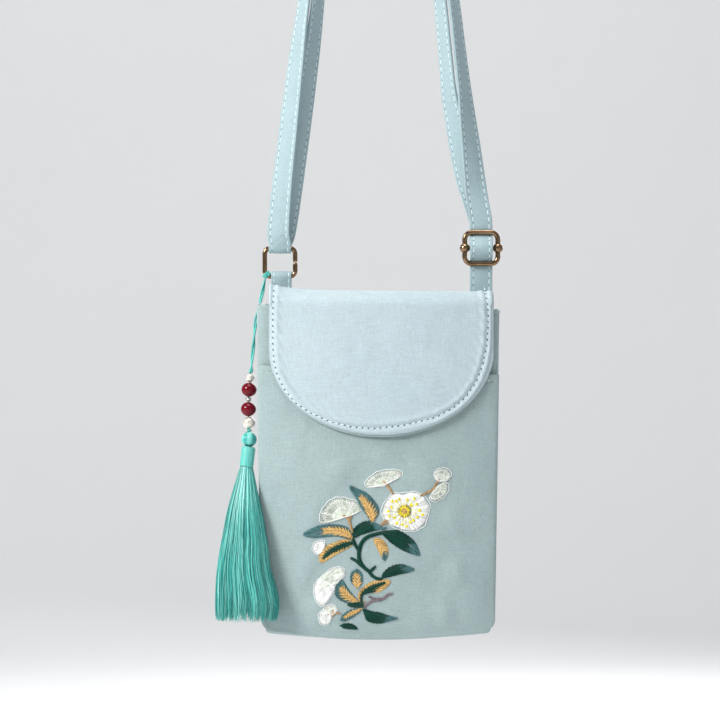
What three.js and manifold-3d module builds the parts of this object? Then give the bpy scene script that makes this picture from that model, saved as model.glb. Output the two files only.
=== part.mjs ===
// An embroidered cloth phone purse on a long doubled strap, as it hangs from a peg, with a beaded tassel charm.
// Millimetres, +Z up, X to the wearer's right in the front view, the front face looks along -Y.
// The origin is the inside top of the strap loop, where the purse hangs.

import * as THREE from 'three';
import { mergeVertices } from 'three/addons/utils/BufferGeometryUtils.js';
import Module from 'manifold-3d';

const wasm = await Module();
wasm.setup();

// Cloth and clearances
const clothWall = 1.4;
const gap = 0.3;

// Pouch
const pouchWidth = 124.8;
const pouchHeight = 170.5;
const pouchDepth = 15;
const seamRoll = 1.8;
const seamAllowance = 4;
const bottomNarrowing = 5.4;
const bottomBow = 3.8;
const bottomCorner = 7;
const mouthSlope = 2.6;

// Slip pocket over the lower front
const pocketBelowMouth = 30.2;
const pocketSlope = 2.2;
const pocketEase = 2.4;

// Flap
const flapInset = 5.1;
const flapThickness = 1.6;
const flapRise = 7.6;
const flapReach = 74.4;
const flapRound = 44.4;
const flapShift = 1.7;
const flapBack = 17;
const flapStand = 1.6;
const cornerLift = 3.6;
const cornerLiftReach = 14;

// Strap, one folded and stitched band, doubled over the peg
const strapWidth = 11.6;
const strapThickness = 1.5;
const strapDrop = 302.7;
const loopRadius = 14.5;
const strapTail = 12.5;
const strapSewnLength = 21;

// Ring on the left, the slider on the right, both of bent round wire
const ringInset = 12;
const ringRise = 15.1;
const ringWire = 2.45;
const ringHeight = 17.2;
const ringSideRoom = 0.8;
const ringCorner = 3;
const ringSlit = 0.4;
const sliderInset = 9.3;
const sliderRise = 22.3;
const sliderWire = 2.6;
const sliderSideRoom = 1.4;
const sliderCorner = 3.7;
const barWire = 2.2;
const barBall = 5.2;
const weaveRoom = 1.29;

// Cloth tab that holds the ring
const tabWidth = 10.4;
const tabPly = 1.3;
const tabShift = 0.7;

// Charm: cord, beads and tassel
const cordThickness = 2;
const hitchLength = 1.6;
const hitchWall = 0.7;
const threadThickness = 1;
const knotWidth = 2.6;
const upperKnotHeight = 2.2;
const lowerKnotHeight = 1.2;
const beadHole = 1.6;
const headWidth = 7.8;
const headHeight = 7.4;
const wrapWidth = 7.3;
const wrapHeight = 10.4;
const wrapWall = 0.8;
const skirtBelowWrap = 1;
const skirtLength = 77;
const skirtSpread = 31.6;
const skirtFlatness = 12.4;
const lockCount = 14;
const lockGroove = 0.16;
const lockRagged = 0.07;

// Beads from the top, each with its own width and height
const beads = [
  { name: 'bead_pearl_small', width: 4.8, height: 4.4, colour: 0xe9e2d2, roughness: 0.3 },
  { name: 'bead_red_upper', width: 7.9, height: 7.3, colour: 0x6f0a16, roughness: 0.12 },
  { name: 'bead_silver', width: 3.5, height: 2.1, colour: 0xa9a7a0, roughness: 0.3 },
  { name: 'bead_red_lower', width: 7.9, height: 7.3, colour: 0x6f0a16, roughness: 0.12 },
  { name: 'bead_pearl_large', width: 6.7, height: 6.1, colour: 0xe9e2d2, roughness: 0.3 },
];

// How each doubled run turns from the hardware (up 0) to the peg (up 1): turn in degrees,
// spread as a share of the half width that the two layers part by, bow as a share of the strap width
const leftRun = [
  { up: 0, turn: 0, spread: 0, bow: 0 },
  { up: 0.02, turn: 12, spread: 0.23, bow: 0 },
  { up: 0.12, turn: 29, spread: 0.42, bow: 0 },
  { up: 0.22, turn: 36, spread: 0.54, bow: 0 },
  { up: 0.345, turn: 47, spread: 0.72, bow: 0 },
  { up: 0.455, turn: 60, spread: 0.95, bow: 0 },
  { up: 0.7, turn: 80, spread: 1, bow: 0 },
  { up: 0.9, turn: 90, spread: 1, bow: 0 },
  { up: 1, turn: 90, spread: 1, bow: 0 },
];
const rightRun = [
  { up: 0, turn: 0, spread: 0, bow: 0 },
  { up: 0.045, turn: 8, spread: 0.12, bow: 0.1 },
  { up: 0.085, turn: 19, spread: 0.28, bow: 0.18 },
  { up: 0.14, turn: 31, spread: 0.45, bow: 0.22 },
  { up: 0.213, turn: 45, spread: 0.68, bow: 0.24 },
  { up: 0.267, turn: 54, spread: 0.95, bow: 0.24 },
  { up: 0.34, turn: 59, spread: 1, bow: 0.18 },
  { up: 0.45, turn: 63, spread: 1, bow: 0.09 },
  { up: 0.7, turn: 80, spread: 1, bow: 0 },
  { up: 0.9, turn: 90, spread: 1, bow: 0 },
  { up: 1, turn: 90, spread: 1, bow: 0 },
];

// Route of the charm cord and its string of beads, chosen points measured from the ring's hitch
const cordRoute = [
  [-0.9, -0.2, -2.5], [-1.9, -0.9, -8], [-3.2, -1.7, -13.6], [-4.5, -2.8, -19.2],
  [-5.5, -3.4, -24.5], [-6.1, -3.9, -30.5], [-6.6, -4.5, -37.2], [-7.2, -5.1, -42.8], [-7.5, -5.5, -46.4],
];
const stringRoute = [
  [-7.6, -5.7, -48], [-8.3, -6.2, -54], [-8.9, -7, -62], [-9, -7.8, -70], [-8.6, -8.6, -79.5],
  [-8.8, -9.8, -87.5], [-9.9, -11.3, -98], [-10.6, -12.6, -106],
];

// Skirt of the tassel: down as a share of its length, wide and deep as shares of its spread and depth,
// aside and forward as shares of its spread
const skirtRows = [
  { down: 0, wide: 0.21, deep: 0.5, aside: 0, forward: 0 },
  { down: 0.1, wide: 0.33, deep: 0.66, aside: -0.01, forward: 0.05 },
  { down: 0.24, wide: 0.5, deep: 0.85, aside: -0.02, forward: 0.13 },
  { down: 0.45, wide: 0.71, deep: 0.95, aside: -0.015, forward: 0.22 },
  { down: 0.64, wide: 0.84, deep: 1, aside: -0.03, forward: 0.28 },
  { down: 0.87, wide: 1, deep: 1, aside: 0.035, forward: 0.33 },
  { down: 1, wide: 0.96, deep: 0.95, aside: 0.02, forward: 0.35 },
];

// What keeps its place from the pouch's side seams
const flapWidth = pouchWidth - 2 * flapInset;
const ringOffset = pouchWidth / 2 - ringInset;
const sliderOffset = pouchWidth / 2 - sliderInset;

const foldZ = -strapDrop;
const mouthZ = foldZ - flapRise;
const seamHalf = clothWall + seamRoll / 2;

// Small helpers
const vec = (x, y, z) => new THREE.Vector3(x, y, z);
const mix = THREE.MathUtils.lerp;
const clamp = THREE.MathUtils.clamp;
const smooth = (x, from, to) => THREE.MathUtils.smoothstep(x, from, to);
const radians = THREE.MathUtils.degToRad;

// A value of one column of a table at a share, on a curve that passes through the rows
function tableAt(rows, key, column, share) {
  const last = rows.length - 1;
  let i = 0;
  while (i < last - 1 && share > rows[i + 1][key]) i += 1;
  const slope = (k) => {
    const a = rows[Math.max(k - 1, 0)];
    const b = rows[Math.min(k + 1, last)];
    return (b[column] - a[column]) / (b[key] - a[key]);
  };
  const span = rows[i + 1][key] - rows[i][key];
  const x = clamp((share - rows[i][key]) / span, 0, 1);
  const from = rows[i][column];
  const to = rows[i + 1][column];
  return (
    (2 * x ** 3 - 3 * x ** 2 + 1) * from + (x ** 3 - 2 * x ** 2 + x) * span * slope(i) +
    (3 * x ** 2 - 2 * x ** 3) * to + (x ** 3 - x ** 2) * span * slope(i + 1)
  );
}

// Closed bodies
function closedBody(points, faces) {
  let volume = 0;
  for (const [a, b, c] of faces) volume += points[a].dot(points[b].clone().cross(points[c]));
  const geometry = new THREE.BufferGeometry();
  geometry.setAttribute('position', new THREE.Float32BufferAttribute(points.flatMap((p) => [p.x, p.y, p.z]), 3));
  geometry.setIndex(faces.flatMap(([a, b, c]) => (volume < 0 ? [a, c, b] : [a, b, c])));
  return geometry;
}

// A sheet with a front and a back, both given over u across and v down, closed all round its rim
function slab(across, down, front, back) {
  const points = [];
  const faces = [];
  const quad = (a, b, c, d) => faces.push([a, b, c], [a, c, d]);
  const index = (side, i, j) => side * (across + 1) * (down + 1) + j * (across + 1) + i;
  for (const face of [front, back]) {
    for (let j = 0; j <= down; j += 1) {
      for (let i = 0; i <= across; i += 1) points.push(face(i / across, j / down));
    }
  }
  for (let j = 0; j < down; j += 1) {
    for (let i = 0; i < across; i += 1) {
      quad(index(0, i, j), index(0, i + 1, j), index(0, i + 1, j + 1), index(0, i, j + 1));
      quad(index(1, i, j), index(1, i, j + 1), index(1, i + 1, j + 1), index(1, i + 1, j));
    }
    quad(index(0, 0, j), index(0, 0, j + 1), index(1, 0, j + 1), index(1, 0, j));
    quad(index(0, across, j), index(1, across, j), index(1, across, j + 1), index(0, across, j + 1));
  }
  for (let i = 0; i < across; i += 1) {
    quad(index(0, i, 0), index(1, i, 0), index(1, i + 1, 0), index(0, i + 1, 0));
    quad(index(0, i, down), index(0, i + 1, down), index(1, i + 1, down), index(1, i, down));
  }
  return closedBody(points, faces);
}

// Rings of equal size joined into one skin, with a point at each end
function skin(rings, startPoint, endPoint) {
  const count = rings[0].length;
  const points = [...rings.flat(), startPoint, endPoint];
  const faces = [];
  const start = rings.length * count;
  for (let k = 0; k < rings.length - 1; k += 1) {
    for (let i = 0; i < count; i += 1) {
      const a = k * count + i;
      const b = k * count + ((i + 1) % count);
      faces.push([a, b, b + count], [a, b + count, a + count]);
    }
  }
  for (let i = 0; i < count; i += 1) {
    const next = (i + 1) % count;
    faces.push([start, next, i], [start + 1, start - count + i, start - count + next]);
  }
  return closedBody(points, faces);
}

// A flat band through stations, each a centre and the direction of its width
function bandSolid(stations, width, thickness) {
  const rings = stations.map(({ at, side }, k) => {
    const before = stations[Math.max(k - 1, 0)].at;
    const after = stations[Math.min(k + 1, stations.length - 1)].at;
    const along = after.clone().sub(before).normalize();
    const normal = along.clone().cross(side).normalize();
    const broad = normal.clone().cross(along).normalize();
    return [[1, 1], [-1, 1], [-1, -1], [1, -1]].map(([w, n]) =>
      at.clone().addScaledVector(broad, (w * width) / 2).addScaledVector(normal, (n * thickness) / 2));
  });
  return skin(rings, stations[0].at, stations[stations.length - 1].at);
}

function toManifold(geometry) {
  const bare = new THREE.BufferGeometry();
  bare.setAttribute('position', geometry.getAttribute('position'));
  if (geometry.index) bare.setIndex(geometry.index);
  const merged = mergeVertices(bare, 1e-4);
  return new wasm.Manifold(new wasm.Mesh({
    numProp: 3,
    vertProperties: new Float32Array(merged.getAttribute('position').array),
    triVerts: new Uint32Array(merged.index.array),
  }));
}

function toGeometry(solid) {
  const { vertProperties, triVerts } = solid.getMesh();
  const geometry = new THREE.BufferGeometry();
  geometry.setAttribute('position', new THREE.Float32BufferAttribute(vertProperties, 3));
  geometry.setIndex(Array.from(triVerts));
  return geometry;
}

const cut = (body, ...tools) =>
  toGeometry(tools.reduce((solid, tool) => solid.subtract(toManifold(tool)), toManifold(body)));
const join = (body, ...others) =>
  toGeometry(others.reduce((solid, other) => solid.add(toManifold(other)), toManifold(body)));

// Pouch surface: s runs from -1 to 1 across, t from 0 at the mouth to 1 at the bottom seam
const mouthAt = (s) => mouthZ - (mouthSlope * (s + 1)) / 2;
const bottomAt = (s) => mouthZ - pouchHeight + bottomBow * s * s;

function halfWidthAt(t) {
  const corner = bottomCorner / pouchHeight;
  const into = clamp((t - 1 + corner) / corner, 0, 1);
  return (pouchWidth - bottomNarrowing * t) / 2 - bottomCorner * (1 - Math.sqrt(1 - into * into));
}

const fullnessAcross = (s) => (1 - Math.min(Math.abs(s), 1) ** 2.5) ** 0.8;

function fullnessDown(t) {
  const swell = 0.82 + 0.18 * Math.sin((Math.PI / 2) * clamp(t / 0.55, 0, 1));
  return swell * (1 - clamp(t, 0, 1) ** 8) ** 0.6;
}

const halfDepthAt = (s, t) => seamHalf + (pouchDepth / 2 - seamHalf) * fullnessAcross(s) * fullnessDown(t);

function pouchPoint(s, t, y) {
  return vec(s * halfWidthAt(t), y, mix(mouthAt(s), bottomAt(s), t));
}

// Where a point of the front view lies on the pouch
function onPouch(x, z) {
  let s = (2 * x) / pouchWidth;
  let t = 0;
  for (let pass = 0; pass < 3; pass += 1) {
    t = clamp((mouthAt(s) - z) / (mouthAt(s) - bottomAt(s)), 0, 0.98);
    s = x / halfWidthAt(t);
  }
  return { s, t };
}

// Rows are closer together near the bottom, where the walls close
const downShare = (v) => Math.sin((Math.PI / 2) * v) ** 1.15;
const acrossShare = (u) => Math.sin(Math.PI * (u - 0.5) * 0.82) / Math.sin(Math.PI * 0.41);

function mainPouch() {
  const wall = (side) => (u, v) => {
    const s = acrossShare(u);
    const t = downShare(v);
    return pouchPoint(s, t, side * halfDepthAt(s, t));
  };
  const room = (side) => (u, v) => {
    const s = acrossShare(u);
    const t = downShare(v);
    const outer = halfWidthAt(0) - seamAllowance - (bottomNarrowing * t) / 2;
    const inset = bottomCorner * (1 - Math.sqrt(1 - clamp((t - 0.9) / 0.1, 0, 1) ** 2));
    const x = s * (outer - inset);
    const bottom = bottomAt(s) + seamAllowance;
    const z = mix(mouthAt(s) + flapRise, bottom, t);
    const at = onPouch(x, z);
    const inside = halfDepthAt(at.s, at.t) - clothWall;
    return vec(x, side * inside * (1 - 0.8 * Math.abs(s) ** 8), z);
  };
  return cut(slab(20, 12, wall(-1), wall(1)), slab(16, 11, room(-1), room(1)));
}

// Slip pocket panel, lying over the front wall
const pocketTopAt = (s) => mouthZ - pocketBelowMouth - ((mouthSlope + pocketSlope) * (s + 1)) / 2;
const pocketBack = (s, t) => halfDepthAt(s, t) + gap + pocketEase * fullnessAcross(s) * fullnessDown(t);
const pocketFront = (s, t) => pocketBack(s, t) + clothWall;

function frontPocket() {
  const face = (depth) => (u, v) => {
    const s = acrossShare(u);
    const top = (mouthAt(s) - pocketTopAt(s)) / (mouthAt(s) - bottomAt(s));
    const t = mix(top, 1, downShare(v));
    return pouchPoint(s, t, -depth(s, t));
  };
  return slab(20, 11, face(pocketFront), face(pocketBack));
}

// Flap: a straight band sewn to the back, over the mouth and down the front, with a rounded end
const flapStraight = flapReach - flapRound;
const flapEndAt = (share) => foldZ - flapStraight - flapRound * Math.sqrt(Math.max(0, 1 - share * share));
const flapBackAt = (x) => halfDepthAt(onPouch(x, mouthZ).s, 0) + gap;

function flapCentre(share, v) {
  const x = flapShift + (share * flapWidth) / 2;
  const spring = mouthZ;
  const rear = flapBackAt(x) + flapThickness / 2;
  const top = onPouch(x, spring);
  const front = -pocketFront(top.s, top.t) - gap - flapThickness / 2;
  const lift = cornerLift * Math.exp((-(share + 1) * flapWidth) / 2 / cornerLiftReach);
  const crest = foldZ + lift - flapThickness / 2;
  if (v < 0.1) {
    const z = mix(spring - flapBack, spring, v / 0.1);
    const at = onPouch(x, z);
    return vec(x, halfDepthAt(at.s, at.t) + gap + flapThickness / 2, z);
  }
  if (v < 0.5) {
    const angle = (Math.PI * (v - 0.1)) / 0.4;
    return vec(x, mix(front, rear, 0.5 + Math.cos(angle) / 2), mix(spring, crest, Math.sin(angle)));
  }
  const end = flapEndAt(share);
  const z = mix(spring, end, (v - 0.5) / 0.5);
  const at = onPouch(x, z);
  const stand = flapStand * clamp((spring - z) / (spring - flapEndAt(0)), 0, 1) ** 2;
  return vec(x, -pocketFront(at.s, at.t) - gap - flapThickness / 2 - stand, z);
}

function flap() {
  const step = 0.004;
  const face = (side) => (u, v) => {
    const share = Math.sin(Math.PI * (u - 0.5));
    const at = flapCentre(share, v);
    const along = flapCentre(share, Math.min(v + step, 1)).sub(flapCentre(share, Math.max(v - step, 0)));
    const outward = vec(0, along.z, -along.y).normalize();
    return at.addScaledVector(outward, (side * flapThickness) / 2);
  };
  return slab(18, 20, face(1), face(-1));
}

// A path in a plane that wraps round wheels, as a band round bars. Each wheel has a centre, a radius and a turn,
// 1 for anticlockwise and -1 for clockwise, and the two ends are wheels of no radius.
function beltPath(wheels, step) {
  const tangents = [];
  for (let i = 0; i < wheels.length - 1; i += 1) {
    const a = wheels[i];
    const b = wheels[i + 1];
    const across = b.x - a.x;
    const up = b.y - a.y;
    const offset = b.turn * b.radius - a.turn * a.radius;
    tangents.push(Math.atan2(up, across) - Math.asin(offset / Math.hypot(across, up)));
  }
  const touch = (wheel, angle) => new THREE.Vector2(
    wheel.x + wheel.turn * wheel.radius * Math.sin(angle),
    wheel.y - wheel.turn * wheel.radius * Math.cos(angle),
  );
  const points = [touch(wheels[0], tangents[0])];
  for (let i = 1; i < wheels.length; i += 1) {
    const wheel = wheels[i];
    const arrive = tangents[i - 1];
    const start = points[points.length - 1];
    const end = touch(wheel, arrive);
    const straight = Math.max(1, Math.ceil(start.distanceTo(end) / (6 * step)));
    for (let k = 1; k <= straight; k += 1) points.push(start.clone().lerp(end, k / straight));
    if (i === wheels.length - 1) break;
    let sweep = wheel.turn * (tangents[i] - arrive);
    while (sweep < 0) sweep += 2 * Math.PI;
    const arcs = Math.max(1, Math.ceil((sweep * wheel.radius) / step));
    for (let k = 1; k <= arcs; k += 1) points.push(touch(wheel, arrive + (wheel.turn * sweep * k) / arcs));
  }
  return points;
}

const end = (x, y) => ({ x, y, radius: 0, turn: 1 });
const wheel = (x, y, radius, turn) => ({ x, y, radius, turn });

// Places of the hardware, from the cloth that carries it
const backFaceAt = (x) => flapBackAt(x) + flapThickness + gap;
const tabX = tabShift - ringOffset;
const tabBack = backFaceAt(tabX + tabWidth / 2);
const plyStep = tabPly + gap;
const layerStep = strapThickness + gap;
const ringWidth = strapWidth + 2 * ringSideRoom + 2 * ringWire;
const ringY = tabBack + tabPly + gap / 2;
const ringZ = foldZ + ringRise;
const ringPitch = (ringHeight - ringWire) / 2;

const strapBack = backFaceAt(sliderOffset - strapWidth / 2) + strapThickness / 2;
const barReach = sliderWire / 2 + gap + strapThickness / 2;
const fixedReach = barWire / 2 + gap + strapThickness / 2;
const sliderPitch = (fixedReach + layerStep + barReach) * weaveRoom;
const sliderY = strapBack - barReach;
const sliderZ = foldZ + sliderRise;
const sliderWidth = strapWidth + 2 * sliderSideRoom + 2 * sliderWire;

// The tab: up behind the flap, round the ring's lower bar and down again
function ringTab() {
  const low = mouthZ - flapBack + gap;
  const barZ = ringZ - ringPitch;
  const bend = foldZ - 2;
  const path = beltPath([
    end(ringY - plyStep / 2, low),
    end(ringY - plyStep / 2, bend),
    wheel(ringY, barZ, ringWire / 2 + gap + tabPly / 2, -1),
    end(ringY + plyStep / 2, bend),
    end(ringY + plyStep / 2, low),
  ], 0.9);
  const stations = path.map((p) => ({ at: vec(tabX, p.x, p.y), side: vec(1, 0, 0) }));
  return bandSolid(stations, tabWidth, tabPly);
}

// Centre line of the doubled strap in the front view, round the peg
const pairRadius = loopRadius + strapThickness + gap / 2;
const leftFoot = vec(-ringOffset, ringY, ringZ + ringPitch + ringWire);
const rightFoot = vec(sliderOffset, sliderY + barReach + layerStep, sliderZ + strapTail + strapThickness);

function pairLine() {
  const path = beltPath([
    end(leftFoot.x, leftFoot.z),
    wheel(0, -loopRadius, pairRadius, -1),
    end(rightFoot.x, rightFoot.z),
  ], 4);
  const arc = path.filter((p) => Math.abs(Math.hypot(p.x, p.y + loopRadius) - pairRadius) < 1e-6);
  return { arc, leftTop: arc[0], rightTop: arc[arc.length - 1] };
}

// One layer of one run from its foot up to the peg. The outer layer's inner edge turns to the front,
// the inner layer's outer edge does, and the two part so that they never touch.
function runLayer(foot, top, table, outer, footParting) {
  const steps = 26;
  const hand = Math.sign(foot.x);
  const line = new THREE.Vector2(top.x - foot.x, top.y - foot.z).normalize();
  const aside = vec(hand * line.y, 0, -hand * line.x);
  const stations = [];
  for (let k = 0; k <= steps; k += 1) {
    const up = (k / steps) ** 1.25;
    const turn = radians(tableAt(table, 'up', 'turn', up));
    const spread = tableAt(table, 'up', 'spread', up);
    const bow = tableAt(table, 'up', 'bow', up) * strapWidth;
    const edge = (strapWidth / 2) * (1 - spread) * Math.sin(turn);
    const parting = (spread * strapWidth * Math.cos(turn)) / 2 + (layerStep / 2) * Math.sin(turn);
    const extra = (footParting - layerStep / 2) * (1 - smooth(up, 0, 0.06));
    const depth = edge + (layerStep / 2) * Math.cos(turn) + extra;
    const sign = outer ? 1 : -1;
    const at = vec(mix(foot.x, top.x, up), mix(foot.y, 0, up), mix(foot.z, top.y, up))
      .addScaledVector(aside, sign * parting - bow)
      .add(vec(0, -sign * depth, 0));
    const side = aside.clone().multiplyScalar(-Math.cos(turn)).add(vec(0, -sign * Math.sin(turn), 0));
    stations.push({ at, side });
  }
  return stations;
}

// The whole strap, from where it is sewn to the back on the right to its end on the slider's centre bar
function strapStations() {
  const { arc, leftTop, rightTop } = pairLine();
  const across = vec(-1, 0, 0);
  const inPlane = (x) => (p) => ({ at: vec(x, p.x, p.y), side: across });
  const weave = beltPath([
    end(strapBack, mouthZ - strapSewnLength + 4),
    wheel(sliderY, sliderZ - sliderPitch, barReach, 1),
    wheel(sliderY, sliderZ, fixedReach + layerStep, -1),
    wheel(sliderY, sliderZ + sliderPitch, barReach, 1),
    end(sliderY + barReach, rightFoot.z - 2),
  ], 1.1).map(inPlane(sliderOffset));
  const outerRight = runLayer(rightFoot, rightTop, rightRun, true, layerStep);
  const outerLeft = runLayer(leftFoot, leftTop, leftRun, true, ringWire / 2 + gap + strapThickness / 2);
  const innerLeft = runLayer(leftFoot, leftTop, leftRun, false, ringWire / 2 + gap + strapThickness / 2);
  const innerRight = runLayer(rightFoot, rightTop, rightRun, false, layerStep);
  const overPeg = (radius, side) => arc.slice(1, -1).map((p) => {
    const out = new THREE.Vector2(p.x, p.y + loopRadius).normalize().multiplyScalar(radius);
    return { at: vec(out.x, 0, out.y - loopRadius), side };
  });
  const ringWrap = beltPath([
    end(ringY - ringWire / 2 - gap - strapThickness / 2, leftFoot.z - ringWire / 2),
    wheel(ringY, ringZ + ringPitch, ringWire / 2 + gap + strapThickness / 2, 1),
    end(ringY + ringWire / 2 + gap + strapThickness / 2, leftFoot.z - ringWire / 2),
  ], 1.1).map((p) => ({ at: vec(-ringOffset, p.x, p.y), side: vec(1, 0, 0) }));
  const anchor = beltPath([
    end(sliderY + barReach + 2 * layerStep, rightFoot.z - 2),
    wheel(sliderY, sliderZ + sliderPitch, barReach + 2 * layerStep, -1),
    wheel(sliderY, sliderZ, fixedReach, -1),
    wheel(sliderY, sliderZ + sliderPitch, barReach + layerStep, 1),
    end(sliderY + barReach + layerStep, sliderZ + strapTail),
  ], 1.1).map(inPlane(sliderOffset));
  return [
    ...weave,
    ...outerRight,
    ...overPeg(pairRadius + layerStep / 2, vec(0, -1, 0)).reverse(),
    ...outerLeft.reverse(),
    ...ringWrap,
    ...innerLeft,
    ...overPeg(pairRadius - layerStep / 2, vec(0, 1, 0)),
    ...innerRight.reverse(),
    ...anchor,
  ];
}

// Bent round wire: a rounded rectangle in the plane of the front view, open by a slit at one side
class WireFrame extends THREE.Curve {
  constructor(width, height, corner, slit) {
    super();
    Object.assign(this, { width, height, corner, slit });
  }

  getPoint(share, target = new THREE.Vector3()) {
    const { width, height, corner, slit } = this;
    const sides = [height - 2 * corner, width - 2 * corner, height - 2 * corner, width - 2 * corner];
    const arc = (Math.PI / 2) * corner;
    const total = 2 * (sides[0] + sides[1]) + 4 * arc;
    let left = slit / 2 + share * (total - slit);
    let angle = 0;
    let x = width / 2;
    let y = 0;
    const forward = (length) => {
      x -= Math.sin(angle) * length;
      y += Math.cos(angle) * length;
    };
    const first = Math.min(left, sides[0] / 2);
    forward(first);
    left -= first;
    for (let k = 0; k < 4 && left > 0; k += 1) {
      const turn = Math.min(left, arc) / corner;
      const [cx, cy] = [x - Math.cos(angle) * corner, y - Math.sin(angle) * corner];
      angle += turn;
      x = cx + Math.cos(angle) * corner;
      y = cy + Math.sin(angle) * corner;
      left -= Math.min(left, arc);
      const side = Math.min(left, k === 3 ? sides[0] / 2 : sides[(k + 1) % 4]);
      forward(side);
      left -= side;
    }
    return target.set(x, 0, y);
  }
}

// A round wire along a curve. The section is turned so that its flats face the bore evenly.
function wire(path, radius, sides, steps) {
  const outline = new THREE.Shape();
  for (let i = 0; i < sides; i += 1) {
    const angle = (2 * Math.PI * i) / sides;
    const [x, y] = [radius * Math.cos(angle), radius * Math.sin(angle)];
    if (i === 0) outline.moveTo(x, y);
    else outline.lineTo(x, y);
  }
  outline.closePath();
  return new THREE.ExtrudeGeometry(outline, { steps, bevelEnabled: false, extrudePath: path, curveSegments: 1 });
}

function ring() {
  const path = new WireFrame(ringWidth - ringWire, ringHeight - ringWire, ringCorner, ringSlit);
  return wire(path, ringWire / 2, 8, 36).translate(-ringOffset, ringY, ringZ);
}

// The slider's frame, whose two wire ends meet inside the right ball of the centre bar
function sliderFrame() {
  const path = new WireFrame(sliderWidth - sliderWire, 2 * sliderPitch, sliderCorner, gap);
  return wire(path, sliderWire / 2, 8, 40).translate(sliderOffset, sliderY, sliderZ);
}

// The centre bar ends in a drilled ball round each side rail
function sliderBar() {
  const rail = (sliderWidth - sliderWire) / 2;
  const bar = new THREE.CylinderGeometry(barWire / 2, barWire / 2, 2 * rail, 10).rotateZ(Math.PI / 2);
  const balls = [-1, 1].map((hand) => new THREE.SphereGeometry(barBall / 2, 12, 8).translate(hand * rail, 0, 0));
  const bore = (sliderWire / 2 + gap) / Math.cos(Math.PI / 12);
  const holes = [-1, 1].map((hand) =>
    new THREE.CylinderGeometry(bore, bore, 2 * barBall, 12).rotateX(Math.PI / 2).translate(hand * rail, 0, 0));
  return cut(join(bar, ...balls), ...holes).translate(sliderOffset, sliderY, sliderZ);
}

// Charm
const hitchDrop = ringPitch - ringCorner + ringCorner * Math.SQRT1_2;
const hitchAside = (ringWidth - ringWire) / 2 - ringCorner + ringCorner * Math.SQRT1_2;
const hitchAt = vec(-ringOffset - hitchAside, ringY, ringZ - hitchDrop);

const fromHitch = (list) => list.map(([x, y, z]) => hitchAt.clone().add(vec(x, y, z)));

// A turned body about its own axis, closed on itself round a hole
function drilled(width, height, hole, rows, sides) {
  const profile = [];
  const edge = Math.asin(hole / width);
  for (let k = 0; k <= rows; k += 1) {
    const angle = mix(edge, Math.PI - edge, k / rows);
    const high = (Math.cos(angle) / Math.cos(edge)) * (height / 2);
    profile.push(new THREE.Vector2((width / 2) * Math.sin(angle), -high));
  }
  profile.push(profile[0].clone());
  return new THREE.LatheGeometry(profile, sides);
}

// Puts a body whose axis is +Y at a point, with its axis along a direction
function placed(geometry, at, along) {
  const turn = new THREE.Quaternion().setFromUnitVectors(vec(0, 1, 0), along.clone().normalize());
  return geometry.applyQuaternion(turn).translate(at.x, at.y, at.z);
}

function charmHitch() {
  const sagitta = hitchLength ** 2 / 8 / ringCorner;
  const hole = ringWire + 2 * gap + 2 * sagitta;
  const profile = [
    new THREE.Vector2(hole / 2, -hitchLength / 2),
    new THREE.Vector2(hole / 2 + hitchWall / 2, -hitchLength / 2),
    new THREE.Vector2(hole / 2 + hitchWall, 0),
    new THREE.Vector2(hole / 2 + hitchWall / 2, hitchLength / 2),
    new THREE.Vector2(hole / 2, hitchLength / 2),
    new THREE.Vector2(hole / 2, -hitchLength / 2),
  ];
  return placed(new THREE.LatheGeometry(profile, 12), hitchAt, vec(1, 0, -1));
}

const cordPath = new THREE.CatmullRomCurve3(fromHitch(cordRoute));
const stringPath = new THREE.CatmullRomCurve3(fromHitch(stringRoute));

// The string below the cord: knot, beads, second knot, tassel head and wrap, each a set length down it
const cordKnotAt = upperKnotHeight / 2 + gap;
const string = { beads: [] };
{
  let down = cordKnotAt + upperKnotHeight / 2 + gap;
  for (const bead of beads) {
    string.beads.push({ ...bead, down: down + bead.height / 2 });
    down += bead.height + gap;
  }
  string.lowerKnot = down + lowerKnotHeight / 2;
  string.head = down + lowerKnotHeight + gap + headHeight / 2;
  string.wrap = string.head + headHeight / 2 + gap + wrapHeight / 2;
  string.skirt = string.wrap + wrapHeight / 2 + skirtBelowWrap;
}

function onString(length) {
  const share = clamp(length / stringPath.getLength(), 0, 1);
  return { at: stringPath.getPointAt(share), along: stringPath.getTangentAt(share).negate() };
}

function stringBody(geometry, length) {
  const { at, along } = onString(length);
  return placed(geometry, at, along);
}

// The thread runs from the upper knot to the middle of the tassel's head
class ThreadPath extends THREE.Curve {
  getPoint(share, target = new THREE.Vector3()) {
    return target.copy(onString(mix(cordKnotAt, string.head + headHeight / 3, share)).at);
  }
}

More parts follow.
